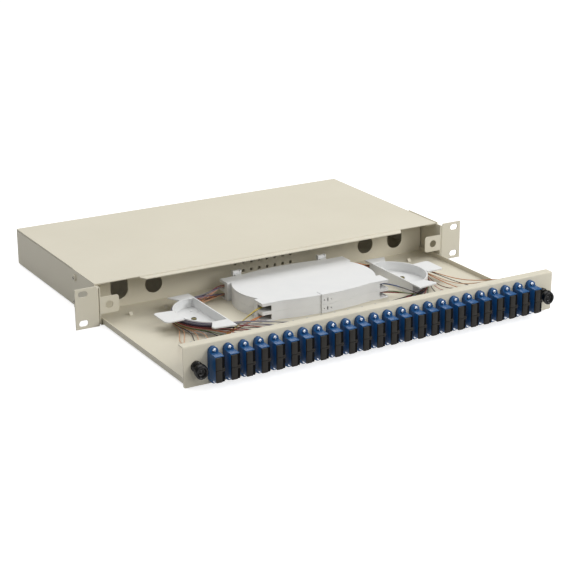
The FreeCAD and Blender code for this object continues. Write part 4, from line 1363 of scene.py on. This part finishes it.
    def front_route(self, side: Side, boot: list[Vector], number: int, jacket: int) -> Route:
        """Route a fibre along the wall's foot, under the guide's front tab, into a front entry.

        Args:
            side: End of the box.
            boot: Points behind the connector.
            number: Place in the count from the innermost fibre.
            jacket: Index of its jacket.

        Returns:
            The route.
        """
        way, place = side.value, abs(boot[0].x)
        pair, tier = divmod(number, 2)
        off = self.radius + self.front_gap + self.lane * pair
        low = self.floor() + self.radius + self.front_foot
        high = self.floor() + self.front_rise[tier]
        outer = place * 0.6 + self.hub[0] * 0.4
        points = boot + [
            self.loose(way * (place - 2 * MM), boot[1].y + 22 * MM, low + 1.5 * MM),
            self.loose(way * outer, self.hub[1] - 60 * MM, low, 0.8)]
        points += [self.wrap(side, degrees, off, low + (high - low) * step / 2)
                   for step, degrees in enumerate(self.front_wrap)]
        mouth = self.mouth(side, Way.FRONT, tier)
        entering = self.entering(side, Way.FRONT, mouth, (pair % 3 - 1) * self.lane)
        halfway = points[-1].lerp(entering[0], 0.5) + Vector((0, 0.6 * MM, 0.8 * MM * tier))
        return Route(tuple(points + [halfway] + entering), jacket, Way.FRONT if tier else None)

    def entering(self, side: Side, way: Way, mouth: Vector, spread: float) -> list[Vector]:
        """Lead a fibre through a cassette's entry.

        Args:
            side: End of the box.
            way: Rear or front entry.
            mouth: Middle of the entry.
            spread: How far along the box the fibre lies from it.

        Returns:
            A point outside and a point inside.
        """
        slack = self.dice.uniform(-self.entry_slack, self.entry_slack) * MM
        deep, along = self.inside
        return [mouth + Vector((side.value * self.outside, spread, slack)),
                mouth + Vector((-side.value * deep, spread - way.value * along, 0))]

    def strands(self, routes: list[Route]) -> bpy.types.Mesh:
        """Make round strands along smooth lines, each in its own jacket.

        Args:
            routes: The fibres.

        Returns:
            One mesh.
        """
        curve = bpy.data.curves.new("strands", "CURVE")
        curve.dimensions = "3D"
        curve.bevel_depth = self.radius
        curve.bevel_resolution = 2
        curve.resolution_u = 5
        curve.use_fill_caps = True
        for material in self.finishes.jackets:
            curve.materials.append(material)
        for route in routes:
            spline = curve.splines.new("NURBS")
            spline.points.add(len(route.points) - 1)
            for point, place in zip(spline.points, route.points):
                point.co = (*place, 1.0)
            spline.order_u = 4
            spline.use_endpoint_u = True
            spline.material_index = route.jacket
        source = bpy.data.objects.new("strands", curve)
        bpy.context.scene.collection.objects.link(source)
        graph = bpy.context.evaluated_depsgraph_get()
        mesh = bpy.data.meshes.new_from_object(source.evaluated_get(graph), depsgraph=graph)
        bpy.data.objects.remove(source)
        return mesh


@dataclass
class Drawer:
    """The sliding tray and the connectors behind its panel."""

    dresser: Dresser
    finishes: Finishes
    plug_edge: float = 0.25 * MM

    def build(self) -> None:
        """Paint the folded sheet and dress the connectors."""
        self.dresser.paint("drawer_tray", self.finishes.coat)
        for node in ("pigtail_plugs_upper", "pigtail_plugs_lower"):
            self.dresser.dress(node, self.finishes.blue, "blue_plastic", self.plug_edge)


@dataclass(frozen=True)
class Lamp:
    """A square soft light, with its width in metres and its power in watts."""

    name: str
    place: Point
    size: float
    power: float


@dataclass
class Studio:
    """Camera, floor and soft light."""

    place: Point = (-0.812, -1.435, 0.554)
    azimuth: float = -29.69
    elevation: float = 19.03
    roll: float = -0.32
    lens: float = 100.19
    floor_size: float = 12.0
    floor_grey: float = 0.55
    floor_glow: float = 0.74
    surround: float = 0.29
    aim: Point = (0, -0.05, 0)
    lamps: tuple[Lamp, ...] = (Lamp("overhead", (0.2, 0.9, 1.8), 2.0, 31.0),
                               Lamp("front right", (1.3, -1.4, 1.2), 1.0, 23.0),
                               Lamp("front", (0.0, -2.0, 1.0), 1.2, 8.5))

    def build(self) -> None:
        """Set the stage."""
        self.camera()
        self.floor()
        self.world()
        for lamp in self.lamps:
            self.light(lamp)

    def camera(self) -> None:
        """The photograph's view."""
        data = bpy.data.cameras.new("camera")
        data.lens = self.lens
        data.sensor_width = 36.0
        data.clip_start, data.clip_end = 0.05, 50.0
        made = bpy.data.objects.new("camera", data)
        turn, rise = math.radians(self.azimuth), math.radians(self.elevation)
        back = Vector((math.sin(turn) * math.cos(rise), -math.cos(turn) * math.cos(rise),
                       math.sin(rise)))
        made.rotation_mode = "QUATERNION"
        made.location = self.place
        roll = Matrix.Rotation(math.radians(self.roll), 4, back)
        upright = (-back).to_track_quat("-Z", "Y").to_matrix().to_4x4()
        made.rotation_quaternion = (roll @ upright).to_quaternion()
        bpy.context.scene.collection.objects.link(made)
        bpy.context.scene.camera = made

    def floor(self) -> None:
        """A pale floor that reads as white and keeps the soft shadow."""
        half, level = self.floor_size / 2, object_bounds()[0].z
        mesh = bpy.data.meshes.new("floor")
        mesh.from_pydata([(-half, -half, level), (half, -half, level), (half, half, level),
                          (-half, half, level)], [], [(0, 1, 2, 3)])
        shader = Shader("floor")
        shader.fix("Base Color", (self.floor_grey,) * 3 + (1,))
        shader.fix("Roughness", 0.9)
        shader.fix("Emission Color", (1, 1, 1, 1))
        rays = shader.node("ShaderNodeLightPath")
        seen = shader.node("ShaderNodeMath", operation="MAXIMUM")
        glow = shader.node("ShaderNodeMath", operation="MULTIPLY")
        glow.inputs[1].default_value = self.floor_glow
        shader.join(rays.outputs["Is Camera Ray"], seen.inputs[0])
        shader.join(rays.outputs["Is Glossy Ray"], seen.inputs[1])
        shader.join(seen.outputs["Value"], glow.inputs[0])
        shader.join(glow.outputs["Value"], shader.principled.inputs["Emission Strength"])
        new_object("floor", mesh, shader.material)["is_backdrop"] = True

    def world(self) -> None:
        """Even surround that is seen as white and lights the box less than that."""
        world = bpy.data.worlds.new("surround")
        world.use_nodes = True
        tree = world.node_tree
        background = tree.nodes["Background"]
        background.inputs["Color"].default_value = (1, 1, 1, 1)
        rays = tree.nodes.new("ShaderNodeLightPath")
        strength = tree.nodes.new("ShaderNodeMapRange")
        strength.inputs["To Min"].default_value = self.surround
        strength.inputs["To Max"].default_value = 1.0
        tree.links.new(rays.outputs["Is Camera Ray"], strength.inputs["Value"])
        tree.links.new(strength.outputs["Result"], background.inputs["Strength"])
        bpy.context.scene.world = world

    def light(self, lamp: Lamp) -> None:
        """Hang a lamp and aim it at the box.

        Args:
            lamp: The lamp.
        """
        data = bpy.data.lights.new(lamp.name, "AREA")
        data.size = lamp.size
        data.energy = lamp.power
        made = bpy.data.objects.new(lamp.name, data)
        made.location = lamp.place
        ahead = Vector(self.aim) - Vector(lamp.place)
        made.rotation_mode = "QUATERNION"
        made.rotation_quaternion = ahead.to_track_quat("-Z", "Y")
        bpy.context.scene.collection.objects.link(made)


def main() -> None:
    """Build the box's looks in order."""
    logging.basicConfig(level=logging.INFO, format="%(name)s: %(message)s")
    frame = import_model()
    riders = frame["record"]["behaviour"]["bodies"].items()
    bodies = {node: body for body, nodes in riders for node in nodes}
    finishes = Finishes()
    dresser = Dresser(frame["nodes"], bodies)
    repeater = Repeater()
    row = AdapterRow(repeater, finishes)
    steps: list[tuple[str, Callable[[], None]]] = [
        ("housing", Housing(dresser, repeater, finishes).build),
        ("drawer", Drawer(dresser, finishes).build),
        ("adapter row", row.build),
        ("fasteners", DrawerFasteners(dresser, finishes).build),
        ("cassettes", Cassettes(dresser, finishes, repeater).build),
        ("guides", Guides(dresser, finishes, repeater).build),
        ("pigtails", Pigtails(finishes, row.centres).build),
        ("studio", Studio().build),
    ]
    for name, build in steps:
        build()
        LOG.info("%s done", name)
    bpy.context.scene.view_settings.view_transform = "Standard"


if __name__ == "__main__":
    main()
